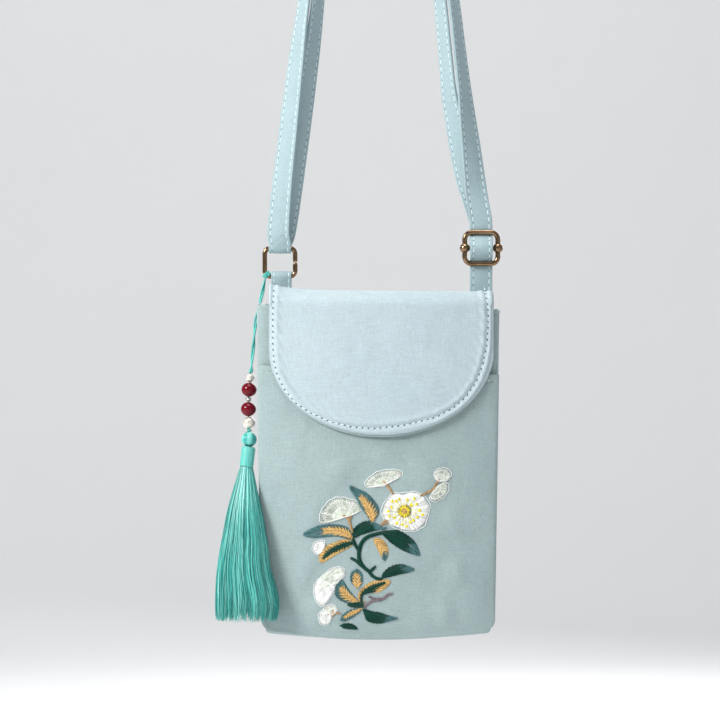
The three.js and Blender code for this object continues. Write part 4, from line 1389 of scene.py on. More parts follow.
def hardware(sizes):
    """The bent ring, the slider's frame and its centre bar with two ball ends."""
    at = Vector((-RING_OFFSET, RING_Y, RING_Z))
    path = rounded_frame(
        RING_WIDTH - RING_WIRE, RING_HEIGHT - RING_WIRE, RING_CORNER, RING_SLIT, 170)
    wire_piece("ring_wire", at, path, RING_WIRE / 2, "ring", sizes)
    at = Vector((SLIDER_OFFSET, SLIDER_Y, SLIDER_Z))
    rail = (SLIDER_WIDTH - SLIDER_WIRE) / 2
    path = rounded_frame(2 * rail, 2 * SLIDER_PITCH, SLIDER_CORNER, GAP, 180)
    wire_piece("slider_wire", at, path, SLIDER_WIRE / 2, "slider_frame", sizes)
    parts = []
    for hand in (-1, 1):
        edge = math.asin((SLIDER_WIRE + 2 * 0.12) / BAR_BALL)
        profile = round_profile(BAR_BALL / 2, BAR_BALL / 2, edge, 14)
        parts.append(turned("ball", profile, 32, at + Vector((hand * rail, 0, 0)), (0, 0, 1)))
    reach = rail - SLIDER_WIRE / 2 - 0.35
    bar = [at + Vector((mix(-reach, reach, k / 24), 0, 0)) for k in range(25)]
    parts.append(tube("bar", bar, BAR_WIRE / 2, 24))
    finished(joined("slider_bar_metal", parts), sizes["metal"], "light_metal", "slider_bar")


# The charm

CORD_LINE = [HITCH_AT + Vector(p) for p in CORD_ROUTE]
STRING_STEPS = 240
STRING_LINE = spline([HITCH_AT + Vector(p) for p in STRING_ROUTE], STRING_STEPS)
CORD_THICKNESS, CORD_STEPS, CORD_TWISTS = 0.96, 60, 1.6
KNOT_SILK, SILK_THREAD = 0.46, 0.2


def on_string(down):
    """A point a length down the string of beads, with the direction up it."""
    share = clamp(down / length_of(STRING_LINE)) * STRING_STEPS
    i = min(int(share), STRING_STEPS - 1)
    at = STRING_LINE[i].lerp(STRING_LINE[i + 1], share - i)
    return at, (STRING_LINE[max(i - 2, 0)] - STRING_LINE[min(i + 3, STRING_STEPS)]).normalized()


def string_places():
    knot = UPPER_KNOT / 2 + GAP
    down = knot + UPPER_KNOT / 2 + GAP
    places = {"cord_knot": knot}
    for name, _, height in BEADS:
        places[name] = down + height / 2
        down += height + GAP
    places["lower_knot"] = down + LOWER_KNOT / 2
    places["head"] = down + LOWER_KNOT + GAP + HEAD_HEIGHT / 2
    places["wrap"] = places["head"] + HEAD_HEIGHT / 2 + GAP + WRAP_HEIGHT / 2
    places["skirt"] = places["wrap"] + WRAP_HEIGHT / 2 + SKIRT_BELOW_WRAP
    return places


def axes_across(along):
    """Two directions across an axis."""
    seed = Vector((0, -1, 0))
    a = (seed - along * seed.dot(along)).normalized()
    return a, along.cross(a)


def coil(at, along, radius, rise, turns, steps):
    """A helix about an axis, centred at a point."""
    a, b = axes_across(along)
    line = []
    for k in range(int(turns * steps) + 1):
        share = k / (turns * steps)
        line.append(at + along * (share - 0.5) * rise
                    + around(a, b, FULL_TURN * turns * share) * radius)
    return line


def silk_cords(sizes):
    """The two strands from the ring to the beads, the hitch on the ring and the knots."""
    silk = sizes["cord_silk"]
    places = string_places()
    base = spline(CORD_LINE + [on_string(places["cord_knot"])[0]], CORD_STEPS)
    frames = carried(base)
    hitch_axis = Vector((1, 0, -1)).normalized()
    hitch_radius = RING_WIRE / 2 + 0.62
    coils = [tube("turn", coil(HITCH_AT + hitch_axis * d, hitch_axis, hitch_radius, 0.15, 1, 28),
                  KNOT_SILK, 10)
             for d in (-0.72, 0.12, 0.9)]
    a, b = Vector((0, -1, 0)), Vector((-0.7, 0, -0.7))
    bridge = [
        HITCH_AT + hitch_axis * -1.0 + a * 1.6 + b * 0.3,
        HITCH_AT + hitch_axis * -0.4 + a * 2.25 + b * 0.6,
        HITCH_AT + hitch_axis * 0.45 + a * 2.25 + b * 0.7,
        HITCH_AT + hitch_axis * 1.1 + a * 1.5 + b * 0.4,
    ]
    coils.append(tube("bridge", spline(bridge, 16), 0.5, 10))
    finished(joined("ring_hitch", coils), silk, "teal_silk", "charm_hitch")
    for hand in (1, -1):
        line = []
        for k, (p, (_, across, other)) in enumerate(zip(base, frames)):
            angle = FULL_TURN * CORD_TWISTS * k / CORD_STEPS + (0 if hand > 0 else math.pi)
            line.append(p + around(across, other, angle) * 0.5)
        strand = tube("cord_strand_" + ("a" if hand > 0 else "b"), line, CORD_THICKNESS / 2, 10)
        finished(strand, silk, "teal_silk", *(["charm_cord"] if hand > 0 else []))
        tuple(c * MM for c in line[0])
        length_of(line) * MM
        [[c * MM for c in p] for p in line]
    for node, height, turns in (("cord_knot", UPPER_KNOT, 3), ("lower_knot", LOWER_KNOT, 2)):
        at, along = on_string(places[node])
        loops = []
        for k in range(turns):
            shift = (k - (turns - 1) / 2) * height / turns * 0.8
            lean = Matrix.Rotation(0.45 * (-1) ** k, 3, axes_across(along)[0])
            turn = coil(at + along * shift, (lean @ along).normalized(), 0.86, 0.1, 1, 20)
            loops.append(tube("loop", turn, KNOT_SILK, 8))
        finished(joined(node + "_silk", loops), silk, "teal_silk", node)
    thread = []
    for hand in (0, math.pi):
        line = []
        for k in range(90):
            at, along = on_string(mix(0.2, places["head"] + HEAD_HEIGHT / 3, k / 89))
            line.append(at + around(*axes_across(along), hand + k * 0.55) * 0.26)
        thread.append(tube("ply", line, 0.25, 7))
    finished(joined("bead_thread_silk", thread), silk, "teal_silk", "bead_thread")


def charm_beads(sizes):
    places = string_places()
    skins = {"pearl": ("pearl", "pearl_bead"), "red": ("red", "red_bead"),
             "silver": ("silver", "silver_bead")}
    for name, width, height in BEADS:
        at, along = on_string(places[name])
        kind = name.split("_")[1]
        if kind == "silver":
            profile = round_profile(width / 2, height / 2, 0.32, 20, power=0.7, rib=0.05)
            profile += [(BEAD_HOLE / 2, height / 2 * 0.93), (BEAD_HOLE / 2, -height / 2 * 0.93)]
            sides = 40
        else:
            edge, high = math.asin(BEAD_HOLE / width), height / 2
            profile = round_profile(width / 2, high / math.cos(edge), edge, 26)
            profile += [(BEAD_HOLE / 2 * 0.94, high - 0.12), (BEAD_HOLE / 2 * 0.92, 0),
                        (BEAD_HOLE / 2 * 0.94, 0.12 - high)]
            sides = 48
        material, slot = skins[kind]
        bead = turned(name + "_bead", profile, sides, at, along)
        finished(bead, sizes[material], slot, name)


def silk_tassel(sizes):
    """Satin head with lengthwise threads, a wound wrap, and a skirt of loose threads in locks."""
    places = string_places()
    random.seed(sizes["seed"])
    at, along = on_string(places["head"])
    a, b = axes_across(along)
    core = round_profile(HEAD_WIDTH / 2 * 0.93, HEAD_HEIGHT / 2 * 0.96, 0.24, 24, power=0.85)
    core += [(BEAD_HOLE / 2, HEAD_HEIGHT / 2 * 0.9), (BEAD_HOLE / 2, -HEAD_HEIGHT / 2 * 0.9)]
    # Core of the head in the darker silk: painted shade under the threads
    finished(turned("tassel_head_core", core, 40, at, along), sizes["deep_silk"], "teal_silk",
             "tassel_head")
    lines, tints = [], []
    for k in range(96):
        turn = FULL_TURN * k / 96
        line = []
        for i in range(13):
            angle = mix(0.2, math.pi - 0.3, i / 12)
            r = HEAD_WIDTH / 2 * 0.97 * math.sin(angle) ** 0.85
            swirl = turn + 0.12 * math.sin(angle)
            line.append(at + along * math.cos(angle) * HEAD_HEIGHT / 2 + around(a, b, swirl) * r)
        lines.append(line)
        # Broad lighter and darker bands round the head, five to a turn: painted highlight and
        # painted shade for the satin's streaks, with a random tone on top
        shade = clamp(0.62 + 0.34 * math.cos(turn * 5) + random.uniform(-0.15, 0.15))
        tints.append((shade,) * 3)
    at, along = on_string(places["wrap"])
    sleeve = []
    for k in range(13):
        h = mix(-WRAP_HEIGHT / 2, WRAP_HEIGHT / 2, k / 12)
        sleeve.append((WRAP_WIDTH / 2 - 0.28 - 0.25 * abs(2 * k / 12 - 1) ** 4, h))
    sleeve += [(WRAP_WIDTH / 2 - WRAP_WALL, WRAP_HEIGHT / 2),
               (WRAP_WIDTH / 2 - WRAP_WALL, -WRAP_HEIGHT / 2)]
    # Core of the wrap in the darker silk: painted shade under the winding
    finished(turned("tassel_wrap_core", sleeve, 40, at, along), sizes["deep_silk"], "teal_silk",
             "tassel_wrap")
    lines.append(coil(at, along, WRAP_WIDTH / 2 - 0.22, WRAP_HEIGHT - 0.5, 30, 24))
    tints.append((0.72,) * 3)
    finished(baked("tassel_head_threads", lines, "threads", {
        "Thread radius": SILK_THREAD * MM, "Sides": 6, "Material": sizes["skirt_silk"],
    }, tints=tints), None, "teal_silk")

    head, _ = on_string(places["skirt"])

    def strand_point(down, turn, share):
        wide = table_at(SKIRT_ROWS, 1, down) * SKIRT_SPREAD / 2
        deep = table_at(SKIRT_ROWS, 2, down) * SKIRT_FLATNESS / 2
        aside = table_at(SKIRT_ROWS, 3, down) * SKIRT_SPREAD
        ahead = table_at(SKIRT_ROWS, 4, down) * SKIRT_SPREAD
        return head + Vector((
            aside + wide * share * math.cos(turn), -ahead + deep * share * math.sin(turn),
            -down * SKIRT_LENGTH,
        ))

    def collar(turn, share):
        """Where a thread leaves the wrap."""
        start, _ = on_string(places["wrap"] + WRAP_HEIGHT / 2 - 1.2)
        r = (WRAP_WIDTH / 2 - WRAP_WALL - 0.25) * share
        return start + Vector((math.cos(turn), math.sin(turn), 0)) * r

    rings = []
    for k in range(29):
        down = (k / 28) ** 0.9 * 0.93
        ring = []
        for i in range(84):
            turn = FULL_TURN * i / 84
            coarse = 0.1 * (0.5 + 0.5 * math.cos(turn * 14))
            fine = 0.05 * (0.5 + 0.5 * math.sin(turn * 33 + k * 0.1))
            lock = 1 - coarse - fine
            ring.append(strand_point(down, turn, 0.9 * lock))
        rings.append(ring)
    # Body of the skirt in the darker silk: painted shade deep among the threads
    finished(swept("tassel_skirt_body", rings), sizes["deep_silk"], "teal_silk", "tassel_skirt")
    lines, tints, girths = [], [], []
    locks = 22
    for k in range(int(sizes["strands"])):
        turn = random.uniform(0, FULL_TURN)
        lock = round(turn / FULL_TURN * locks) / locks * FULL_TURN
        share = math.sqrt(random.uniform(0.72, 1.0)) if k % 5 else random.uniform(0.3, 0.95)
        stop = random.uniform(0.95, 1.0) if k % 5 else random.uniform(0.87, 0.96)
        drift, wave = random.uniform(-0.12, 0.12), random.uniform(0, 6.28)
        stray = random.uniform(-0.07, 0.09) if k % 4 == 0 else 0
        line = [collar(turn, 0.6 + 0.4 * share)]
        for i in range(15):
            down = (i / 14) ** 0.92 * stop
            grouped = mix(turn, lock, 0.55 * smooth(down, 0.05, 0.5)
                          * (1 - 0.6 * smooth(down, 0.7, 1)))
            grouped += drift * down + 0.03 * math.sin(wave + 7 * down)
            reach = share * (1 - 0.045 * math.cos(grouped * locks)) * (1 + stray * down**2)
            line.append(strand_point(down, grouped, min(reach, 1.04)))
        lines.append(line)
        # Lighter in the middle of each lock and darker between the locks: painted shade between the
        # locks, with a random tone on top
        tone = clamp(0.46 + 0.22 * math.cos(turn * locks) + random.uniform(-0.6, 0.6))
        tints.append((tone,) * 3)
        girths.append([0.9] + [1.0] * 12 + [0.8, 0.6, 0.35])
    finished(baked("tassel_threads", lines, "threads", {
        "Thread radius": SILK_THREAD * MM, "Sides": 4, "Material": sizes["skirt_silk"],
    }, tints=tints, girths=girths), None, "teal_silk")


# Embroidery: outlines and middle ribs of the leaves and blossoms, in front view picture points

DARK, TEAL, GOLD = (0.002, 0.045, 0.030), (0.065, 0.165, 0.175), (0.62, 0.40, 0.15)
CREAM, WHITE, YELLOW = (0.56, 0.62, 0.52), (0.80, 0.81, 0.80), (0.80, 0.68, 0.02)
TWIG, TAN, LACE = (0.19, 0.155, 0.17), (0.42, 0.26, 0.12), (0.95, 0.95, 0.94)

# Each leaf: rib from the base to the tip, outline, colour of the outer part at base and tip,
# colour of the inner part, its reach at the base and how far up the rib it goes
LEAVES = (
    (((372, 521), (370, 511), (362, 498), (350, 484.5)), ((349, 484), (358, 488), (367, 492),
     (374, 499), (379, 506), (379, 513), (376, 519), (372, 522), (370, 519), (365, 512), (360, 505),
     (356, 497), (351, 490)), TEAL, TEAL, GOLD, 0.8, 0.62),
    (((353, 537), (341, 530), (325, 530), (303, 533.5)), ((302, 533.5), (310, 528), (320, 524),
     (330, 523), (340, 523.5), (348, 526), (352, 532), (353, 538), (345, 537), (338, 535),
     (330, 535), (320, 536.5), (310, 536.5)), TEAL, TEAL, GOLD, 0.85, 0.58),
    (((354, 542), (342, 545), (329, 552), (320, 561)), ((320, 562), (319, 554), (321, 549),
     (327, 544), (335, 541), (342, 538), (350, 538), (355, 541), (352, 544), (346, 548), (340, 551),
     (333, 555), (327, 559)), GOLD, GOLD, DARK, 0.72, 0.86),
    (((353, 536), (359, 530), (368, 525), (377, 525)), ((352, 536), (353, 528), (358, 523),
     (364, 520), (370, 519.5), (376, 522), (383, 525), (382, 528), (376, 529), (366, 532),
     (360, 534), (355, 537)), DARK, TEAL, DARK, 0.9, 0.8),
    (((381, 532), (397, 536), (411, 545), (420, 554)), ((381, 532), (387, 530), (394, 529),
     (401, 530), (409, 535), (415, 541), (418, 548), (420, 554.5), (413, 553), (405, 550),
     (397, 546), (390, 541), (384, 535)), DARK, TEAL, DARK, 0.85, 0.62),
    (((374, 537), (380, 544), (384, 551), (384.5, 559)), ((372, 536), (380, 536), (385, 541),
     (388, 547), (388, 553), (384.5, 560), (381, 555), (378, 549), (375, 543)), GOLD, TEAL, GOLD,
     0.85, 0.6),
    (((381, 577), (390, 571), (401, 568), (414, 568)), ((380, 577), (383, 571), (388, 566),
     (395, 563), (402, 562.5), (409, 565), (415, 568), (408, 571), (400, 572.5), (393, 574.5),
     (386, 576)), DARK, TEAL, DARK, 0.75, 0.6),
    (((362, 603), (363, 593), (374, 585), (390, 579)), ((391, 579), (385, 578), (378, 579),
     (371, 580), (365, 584), (359, 589), (357.5, 595), (360, 601), (363, 604), (366, 599),
     (370, 595), (376, 592), (383, 588), (388, 584)), GOLD, GOLD, DARK, 0.74, 0.86),
    (((357, 587), (357, 580), (357, 573), (357, 567)), ((357, 567), (351, 571), (350, 577),
     (352, 583), (357, 587), (362, 585), (363, 578), (362, 572)), TEAL, TEAL, GOLD, 0.9, 0.7),
    (((358, 600), (349, 595), (342, 587), (340, 578)), ((340, 577), (334, 588), (336, 596),
     (342, 600), (349, 602), (356, 601), (360, 600), (357, 598), (353, 593), (348, 587),
     (344, 580)), TEAL, TEAL, GOLD, 0.8, 0.7),
    (((363, 608), (374, 613), (386, 617), (398, 617)), ((363, 606), (366, 608), (372, 610),
     (380, 611), (388, 614), (399, 617), (392, 619), (385, 621), (378, 622.5), (370, 621),
     (363, 617), (362, 612)), DARK, TEAL, DARK, 0.85, 0.62),
    (((362, 607), (354, 610), (346, 615), (340.5, 619)), ((363, 606), (356, 607), (348, 609),
     (342, 614), (340, 619), (345, 620), (351, 617), (357, 613), (361, 609)), TEAL, TEAL, GOLD,
     0.75, 0.8),
    (((340, 624.5), (346, 625), (352, 626), (357, 628)), ((340, 624), (344, 622), (351, 622),
     (356, 625), (358, 628), (350, 628), (343, 627)), DARK, DARK, DARK, 0.9, 0.9),
    (((363, 603), (357, 603), (351, 603), (347, 603.5)), ((346, 603), (352, 600.5), (360, 600.5),
     (364, 603), (362, 606), (352, 606)), DARK, DARK, DARK, 0.9, 0.9),
)

# Each blossom: base that its stitches spread from, outline, colour
BLOSSOMS = (
    ((383, 483), ((365, 481), (371, 476), (376, 472), (384, 470), (392, 469), (400, 470),
     (402, 475), (392, 480), (384, 484), (374, 486), (367, 486)), CREAM),
    ((439, 479), ((433.5, 474), (436, 469.5), (442, 467.5), (448, 469.5), (450.5, 474),
     (448, 478.5), (442, 480.5), (436, 478.8)), CREAM),
    ((434, 487), ((447, 483), (447.5, 489), (443, 496), (436, 500), (430, 499), (429, 495),
     (434, 490), (438, 485), (443, 481.5)), CREAM),
    ((346, 516), ((321, 522), (321, 512), (325, 506), (330, 500), (336, 497), (344, 497),
     (350, 499), (358, 501), (361, 507), (360, 510), (352, 514), (345, 516), (338, 517),
     (330, 521)), CREAM),
    ((324, 548), ((313, 548), (315, 542), (320, 540), (326, 540.5), (323, 546), (320, 553),
     (316, 552)), WHITE),
    ((340, 571), ((344, 568), (340, 566), (332, 567), (326, 572), (320, 577), (318, 583),
     (326, 586), (334, 585), (340, 580), (344, 573)), CREAM),
    ((329, 583), ((320, 577), (315, 584), (314.5, 592), (317, 600), (322, 605), (327, 600),
     (331, 594), (336, 587), (332, 583), (326, 580)), WHITE),
    ((334, 610), ((324, 612), (325, 606), (331, 603), (337, 606), (336, 611), (330, 614)), CREAM),
    ((329, 613), ((320, 612), (324, 608), (330, 612), (331, 617), (329, 622), (325, 623.5),
     (321, 622), (319.5, 617)), WHITE),
)
FLOWER = (
    (388, 498), (393, 492), (403, 493), (412, 491), (420, 493), (427, 499), (429, 506), (426, 516),
    (424, 524), (415, 529), (404, 529), (395, 526), (388, 522), (382, 514), (382, 506),
)
FLOWER_HEART = (404, 510)
STAMENS = (
    (399, 498), (396, 500), (392, 500), (407, 498.5), (414, 497.5), (416, 503), (411, 504),
    (391, 506), (388, 510), (389, 515), (394, 516.5), (396.5, 522), (402, 523), (406, 525),
    (410, 521), (413, 519), (417, 516), (422, 513.5), (419, 509),
)
# Each stem: line, width, colour
STEMS = (
    (((398, 530), (385, 531), (375, 533), (367, 536), (362, 541), (359.5, 548), (359, 556),
     (361, 562), (365, 567), (369, 570), (372, 574), (377, 577), (382, 577.5)), 4.0, DARK),
    (((352.5, 536), (355, 543), (359, 550)), 3.4, DARK),
    (((351, 556.5), (357, 560), (361.5, 565)), 3.2, DARK),
    (((375.5, 565), (371, 569), (369, 571)), 3.0, DARK),
    (((377, 526), (380, 525), (382, 527.5), (386, 526.5)), 2.2, TEAL),
    (((364, 606), (371, 600), (383, 597), (388, 593), (392, 592.5)), 3.0, TWIG),
    (((369, 595), (375, 597.5), (383, 597)), 2.8, TWIG),
    (((363, 606), (361, 598), (363, 590)), 2.4, DARK),
    (((383, 480), (386, 483), (389, 487), (393, 493)), 2.2, TAN),
    (((439, 479), (436, 482), (434, 487), (428, 491), (420, 494.5)), 2.2, TAN),
    (((343, 514), (348, 517), (350, 522), (352.5, 531)), 2.2, TAN),
    (((352, 513), (350, 519)), 1.8, TAN),
    (((328, 613), (334, 611.5), (340, 612)), 2.2, TAN),
    (((332, 609), (334, 612), (333, 615)), 1.8, TAN),
    (((382, 523), (384, 520), (388, 519)), 1.8, TAN),
    (((380, 524), (385, 522), (388, 522.5)), 1.6, TAN),
)


def on_cloth(x, z, out):
    """A point of the embroidery, raised off the slip pocket."""
    return Vector((x, pocket_y(x, z) - out, z))


def hit_outline(start, ahead, outline):
    """How far along a direction the outline lies, or None."""
    best = None
    for a, b in zip(outline, outline[1:] + outline[:1]):
        edge = b - a
        denominator = ahead.x * edge.y - ahead.y * edge.x
        if abs(denominator) < 1e-9:
            continue
        gap = a - start
        far = (gap.x * edge.y - gap.y * edge.x) / denominator
        share = (gap.x * ahead.y - gap.y * ahead.x) / denominator
        if far > 0.05 and -1e-6 <= share <= 1 + 1e-6 and (best is None or far < best):
            best = far
    return best


def outline_mm(points, rounding=2):
    """A closed outline in millimetres, its corners cut round."""
    line = [Vector(on_photo(*p)) for p in points]
    for _ in range(rounding):
        line = [q for a, b in zip(line, line[1:] + line[:1])
                for q in (a.lerp(b, 0.22), a.lerp(b, 0.78))]
    return line


SHORTEST_STITCH, LONGEST_STITCH = 0.25, 14
LEAF_BROWN, HEART_GREY, HEART_GREEN = (0.12, 0.055, 0.012), (0.62, 0.66, 0.60), (0.72, 0.76, 0.62)
PETAL_SHADE, BLACK = (0.55, 0.62, 0.5), (0, 0, 0)


class Needle:
    """Gathers stitches as lines with a colour and a thickness."""

    def __init__(self, seed):
        self.lines, self.tints, self.girths = [], [], []
        self.chance = random.Random(seed)

    def stitch(self, a, b, colour, high=0.34, low=0.02, girth=1.0):
        """One stitch from a to b, sunk at both ends and full in the middle."""
        far = (b - a).length
        if far < SHORTEST_STITCH:
            return
        count = 4 if far > 2 else 3
        line = []
        for k in range(count + 1):
            share = k / count
            at = a.lerp(b, share)
            full = math.sin(math.pi * mix(0.08, 0.92, share)) ** 0.6
            line.append(on_cloth(at.x, at.y, mix(low, high, full)))
        shade = 1 + self.chance.uniform(-0.2, 0.2) * 1.6
        self.lines.append(line)
        self.tints.append(tuple(clamp(c * shade) for c in colour))
        self.girths.append([0.7 * girth] + [girth] * (count - 1) + [0.7 * girth])

    def cord_line(self, points, colour, high, girth):
        self.lines.append([on_cloth(p.x, p.y, high) for p in points])
        self.tints.append(colour)
        self.girths.append([girth] * len(points))


def blend_colour(a, b, share):
    return tuple(mix(x, y, share) for x, y in zip(a, b))


def sew_leaf(needle, leaf, spacing):
    rib, outline, outer, tip, inner, reach, up_to = leaf
    edge = outline_mm(outline, 1)
    rib_line = spline([Vector((*on_photo(*p), 0)) for p in rib], 60)
    count = max(8, int(length_of(rib_line) / spacing))
    middle = even_steps(rib_line, count)
    for k in range(count + 1):
        at = middle[k]
        along = heading_at(middle, k)
        up = k / count
        clump = 1.0 if k // 2 % 2 else 0.6
        for side in (1, -1):
            lean = mix(0.85, 0.5, up)
            ahead = Vector((along.x * math.cos(lean) - side * along.y * math.sin(lean),
                            along.y * math.cos(lean) + side * along.x * math.sin(lean)))
            start = Vector((at.x, at.y))
            far = hit_outline(start, ahead, edge)
            if far is None or far > LONGEST_STITCH:
                continue
            change = smooth(up + needle.chance.uniform(-0.08, 0.08), 0.45, 0.75)
            colour = blend_colour(outer, tip, change)
            # Every other pair of stitches is shorter and 30 percent darker: painted shade in the
            # gaps between the clumps of stitches
            colour = blend_colour(colour, BLACK, 0.0 if clump == 1 else 0.3)
            needle.stitch(start + ahead * far * 0.12, start + ahead * (far + 0.9 * (clump - 0.72)),
                          colour)
            if up < up_to:
                ragged = reach * (1 - 0.35 * up / up_to) * clump * needle.chance.uniform(0.85, 1.1)
                brown = k % 5 == 2 and inner == GOLD
                shade = blend_colour(inner, LEAF_BROWN, 0.5) if brown else inner
                needle.stitch(start - ahead * 0.12, start + ahead * far * ragged, shade, 0.52, 0.3,
                              girth=0.95)
    if inner != outer or outer == DARK:
        line = [Vector((p.x, p.y)) for p in middle[: max(3, int(count * up_to))]]
        vein = blend_colour(inner, BLACK, 0.45)
        needle.cord_line(line, vein, 0.5, 0.7)


def petal_ring(outline, spacing, steps=None):
    """Points round a closed outline, a stitch apart, and its length."""
    edge = outline_mm(outline, 2)
    rim = even_steps([Vector((p.x, p.y, 0)) for p in edge + edge[:1]], steps or len(edge) * 4)
    total = length_of(rim)
    return [Vector((p.x, p.y)) for p in even_steps(rim, int(total / spacing))], total


def lace_loops(ring, root, total, least, swing, pace):
    """A scalloped line just outside a blossom's stitches."""
    count = len(ring) - 1
    loops = []
    for k in range(count + 1):
        p = ring[k % count]
        wave = least + swing * abs(math.sin(k / count * total * pace))
        loops.append(p + (p - root).normalized() * wave)
    return loops


def sew_blossom(needle, blossom, spacing):
    base, outline, colour = blossom
    root = Vector(on_photo(*base))
    ring, total = petal_ring(outline, spacing)
    count = len(ring) - 1
    for k in range(count):
        stop = ring[k]
        far = (stop - root).length
        lobe = 0.5 + 0.5 * math.sin(k / count * FULL_TURN * 5)
        tint = blend_colour(colour, WHITE, 0.4 * lobe)
        if far > 5:
            cut = needle.chance.uniform(0.42, 0.6)
            needle.stitch(root.lerp(stop, 0.02), root.lerp(stop, cut + 0.05),
                          blend_colour(tint, PETAL_SHADE, 0.3))
            if k % 3 != 2 or colour == WHITE:
                needle.stitch(root.lerp(stop, cut), stop, tint, 0.42)
        else:
            needle.stitch(root.lerp(stop, 0.05), stop, tint, 0.4)
    loops = lace_loops(ring, root, total, 0.35, 0.3, 0.75)
    needle.cord_line(loops, LACE, 0.14, 0.75)
    for lobe in range(2):
        inner = [root.lerp(p, mix(0.45, 0.8, lobe) + 0.07 * math.sin(i * 1.3)) for i,
                 p in enumerate(loops)]
        needle.cord_line(inner, LACE, 0.56, 0.6)


def sew_stem(needle, stem, spacing):
    points, width, colour = stem
    line = spline([Vector((*on_photo(*p), 0)) for p in points], 80)
    count = max(6, int(length_of(line) / spacing))
    middle = even_steps(line, count)
    half = width * PICTURE_STEP / 2
    for k in range(count + 1):
        along = heading_at(middle, k)
        across = Vector((-along.y, along.x)) + Vector((along.x, along.y)) * 0.45
        at = Vector((middle[k].x, middle[k].y))
        taper = 0.75 + 0.25 * math.sin(math.pi * k / count)
        needle.stitch(at - across * half * taper, at + across * half * taper, colour, 0.5, 0.05)


def sew_flower(needle, spacing):
    heart = Vector(on_photo(*FLOWER_HEART))
    ring, total = petal_ring(FLOWER, spacing, 160)
    count = len(ring) - 1
    for k in range(count):
        stop = ring[k]
        turn = k / count * FULL_TURN
        notch = 1 - 0.05 * abs(math.sin(turn * 2.5)) ** 8
        cut = needle.chance.uniform(0.5, 0.66)
        shade = blend_colour(WHITE, HEART_GREY, 0.45 * abs(math.cos(turn * 2.5)) ** 6)
        needle.stitch(heart.lerp(stop, 0.3), heart.lerp(stop, cut),
                      blend_colour(shade, HEART_GREEN, 0.35))
        needle.stitch(heart.lerp(stop, cut - 0.06), heart.lerp(stop, notch), shade, 0.44)
    needle.cord_line(lace_loops(ring, heart, total, 0.3, 0.4, 0.6), LACE, 0.16, 0.75)
    for k, dot in enumerate(STAMENS):
        at = Vector(on_photo(*dot))
        needle.stitch(heart.lerp(at, 0.42), at, blend_colour(YELLOW, WHITE, 0.35), 0.6, 0.4,
                      girth=0.55)
        side = (at - heart).normalized()
        cross = Vector((-side.y, side.x))
        for shift in (-0.4, -0.13, 0.13, 0.4):
            needle.stitch(at - cross * 0.65 + side * shift, at + cross * 0.65 + side * shift,
                          YELLOW, 0.85, 0.5)
        if k % 2:
            mid = heart.lerp(at, 0.62)
            needle.stitch(mid - cross * 0.3, mid + cross * 0.3, blend_colour(YELLOW, GOLD, 0.3),
                          0.72, 0.45)
    for k in range(46):
        turn = FULL_TURN * k / 46
        out = Vector((math.cos(turn), math.sin(turn)))
        reach = 3.0 + 0.5 * (k % 3 - 1)
        needle.stitch(heart + out * 1.2, heart + out * reach, YELLOW if k % 4 else TAN, 0.78, 0.4)
    for k in range(14):
        turn = math.pi * k / 14
        out = Vector((math.cos(turn), math.sin(turn)))
        needle.stitch(heart - out * 1.35, heart + out * 1.35, TAN if k % 3 else GOLD, 0.95, 0.6)


def embroidery(sizes):
    spacing = sizes["stitch_spacing"]
    leaves, stems, blossoms = (Needle(sizes["seed"] + k) for k in range(3))
    for stem in STEMS:
        sew_stem(stems, stem, spacing)
    for blossom in BLOSSOMS:
        sew_blossom(blossoms, blossom, spacing)
    sew_flower(blossoms, spacing)
    for leaf in LEAVES:
        sew_leaf(leaves, leaf, spacing)
    for name, needle in (("leaves", leaves), ("stems", stems), ("blossoms", blossoms)):
        piece = baked("embroidered_" + name, needle.lines, "threads", {
            "Thread radius": sizes["thread_radius"], "Sides": 5, "Material": sizes["floss"],
        }, tints=needle.tints, girths=needle.girths)
        finished(piece, None, "pouch_cloth")


def seam_rows(sizes):
    """The stitched row of the flap and the hem of the pocket, each stitch with the painted shade of
    its needle hole.
    """
    def on_surface(depth, points, clear):
        line = [Vector((x, depth(x, z) - clear, z)) for x, z in points]
        return line, [face_direction(depth, x, z) for x, z in points]

    def flap_depth(x, z):
        return flap_face(x, z) - 0.06 - flap_relief(x, z)

    hem = []
    for k in range(161):
        s = mix(-0.965, 0.965, k / 160)
        z = pocket_top_at(s) - HEM_DEPTH
        _, t = on_pouch(s * 60, z)
        hem.append((s * half_width_at(t), z))
    rows = (
        ("flap", flap_depth, [(p.x, p.y) for p in ROW_LINE], 3.05, 0.02, 1.25, 0.72),
        ("pocket_hem", pocket_y, hem, 3.1, -0.2, 0.6, 0.5),
    )
    for name, depth, points, pitch, clear, long_hole_shade, wide_hole_shade in rows:
        row = stitch_steps(*on_surface(depth, points, clear), pitch)
        sewn_rows(name, [row], (2.35, 0.46, 0.42, 0.06), (long_hole_shade, wide_hole_shade, 0.24, 0.55), -0.03,
                  "flap_cloth",
                  sizes)


# Settings, operators and panel

def colour_value(name, description, default):
    return FloatVectorProperty(
        name=name, description=description, subtype="COLOR", size=3, default=default, min=0, max=1)


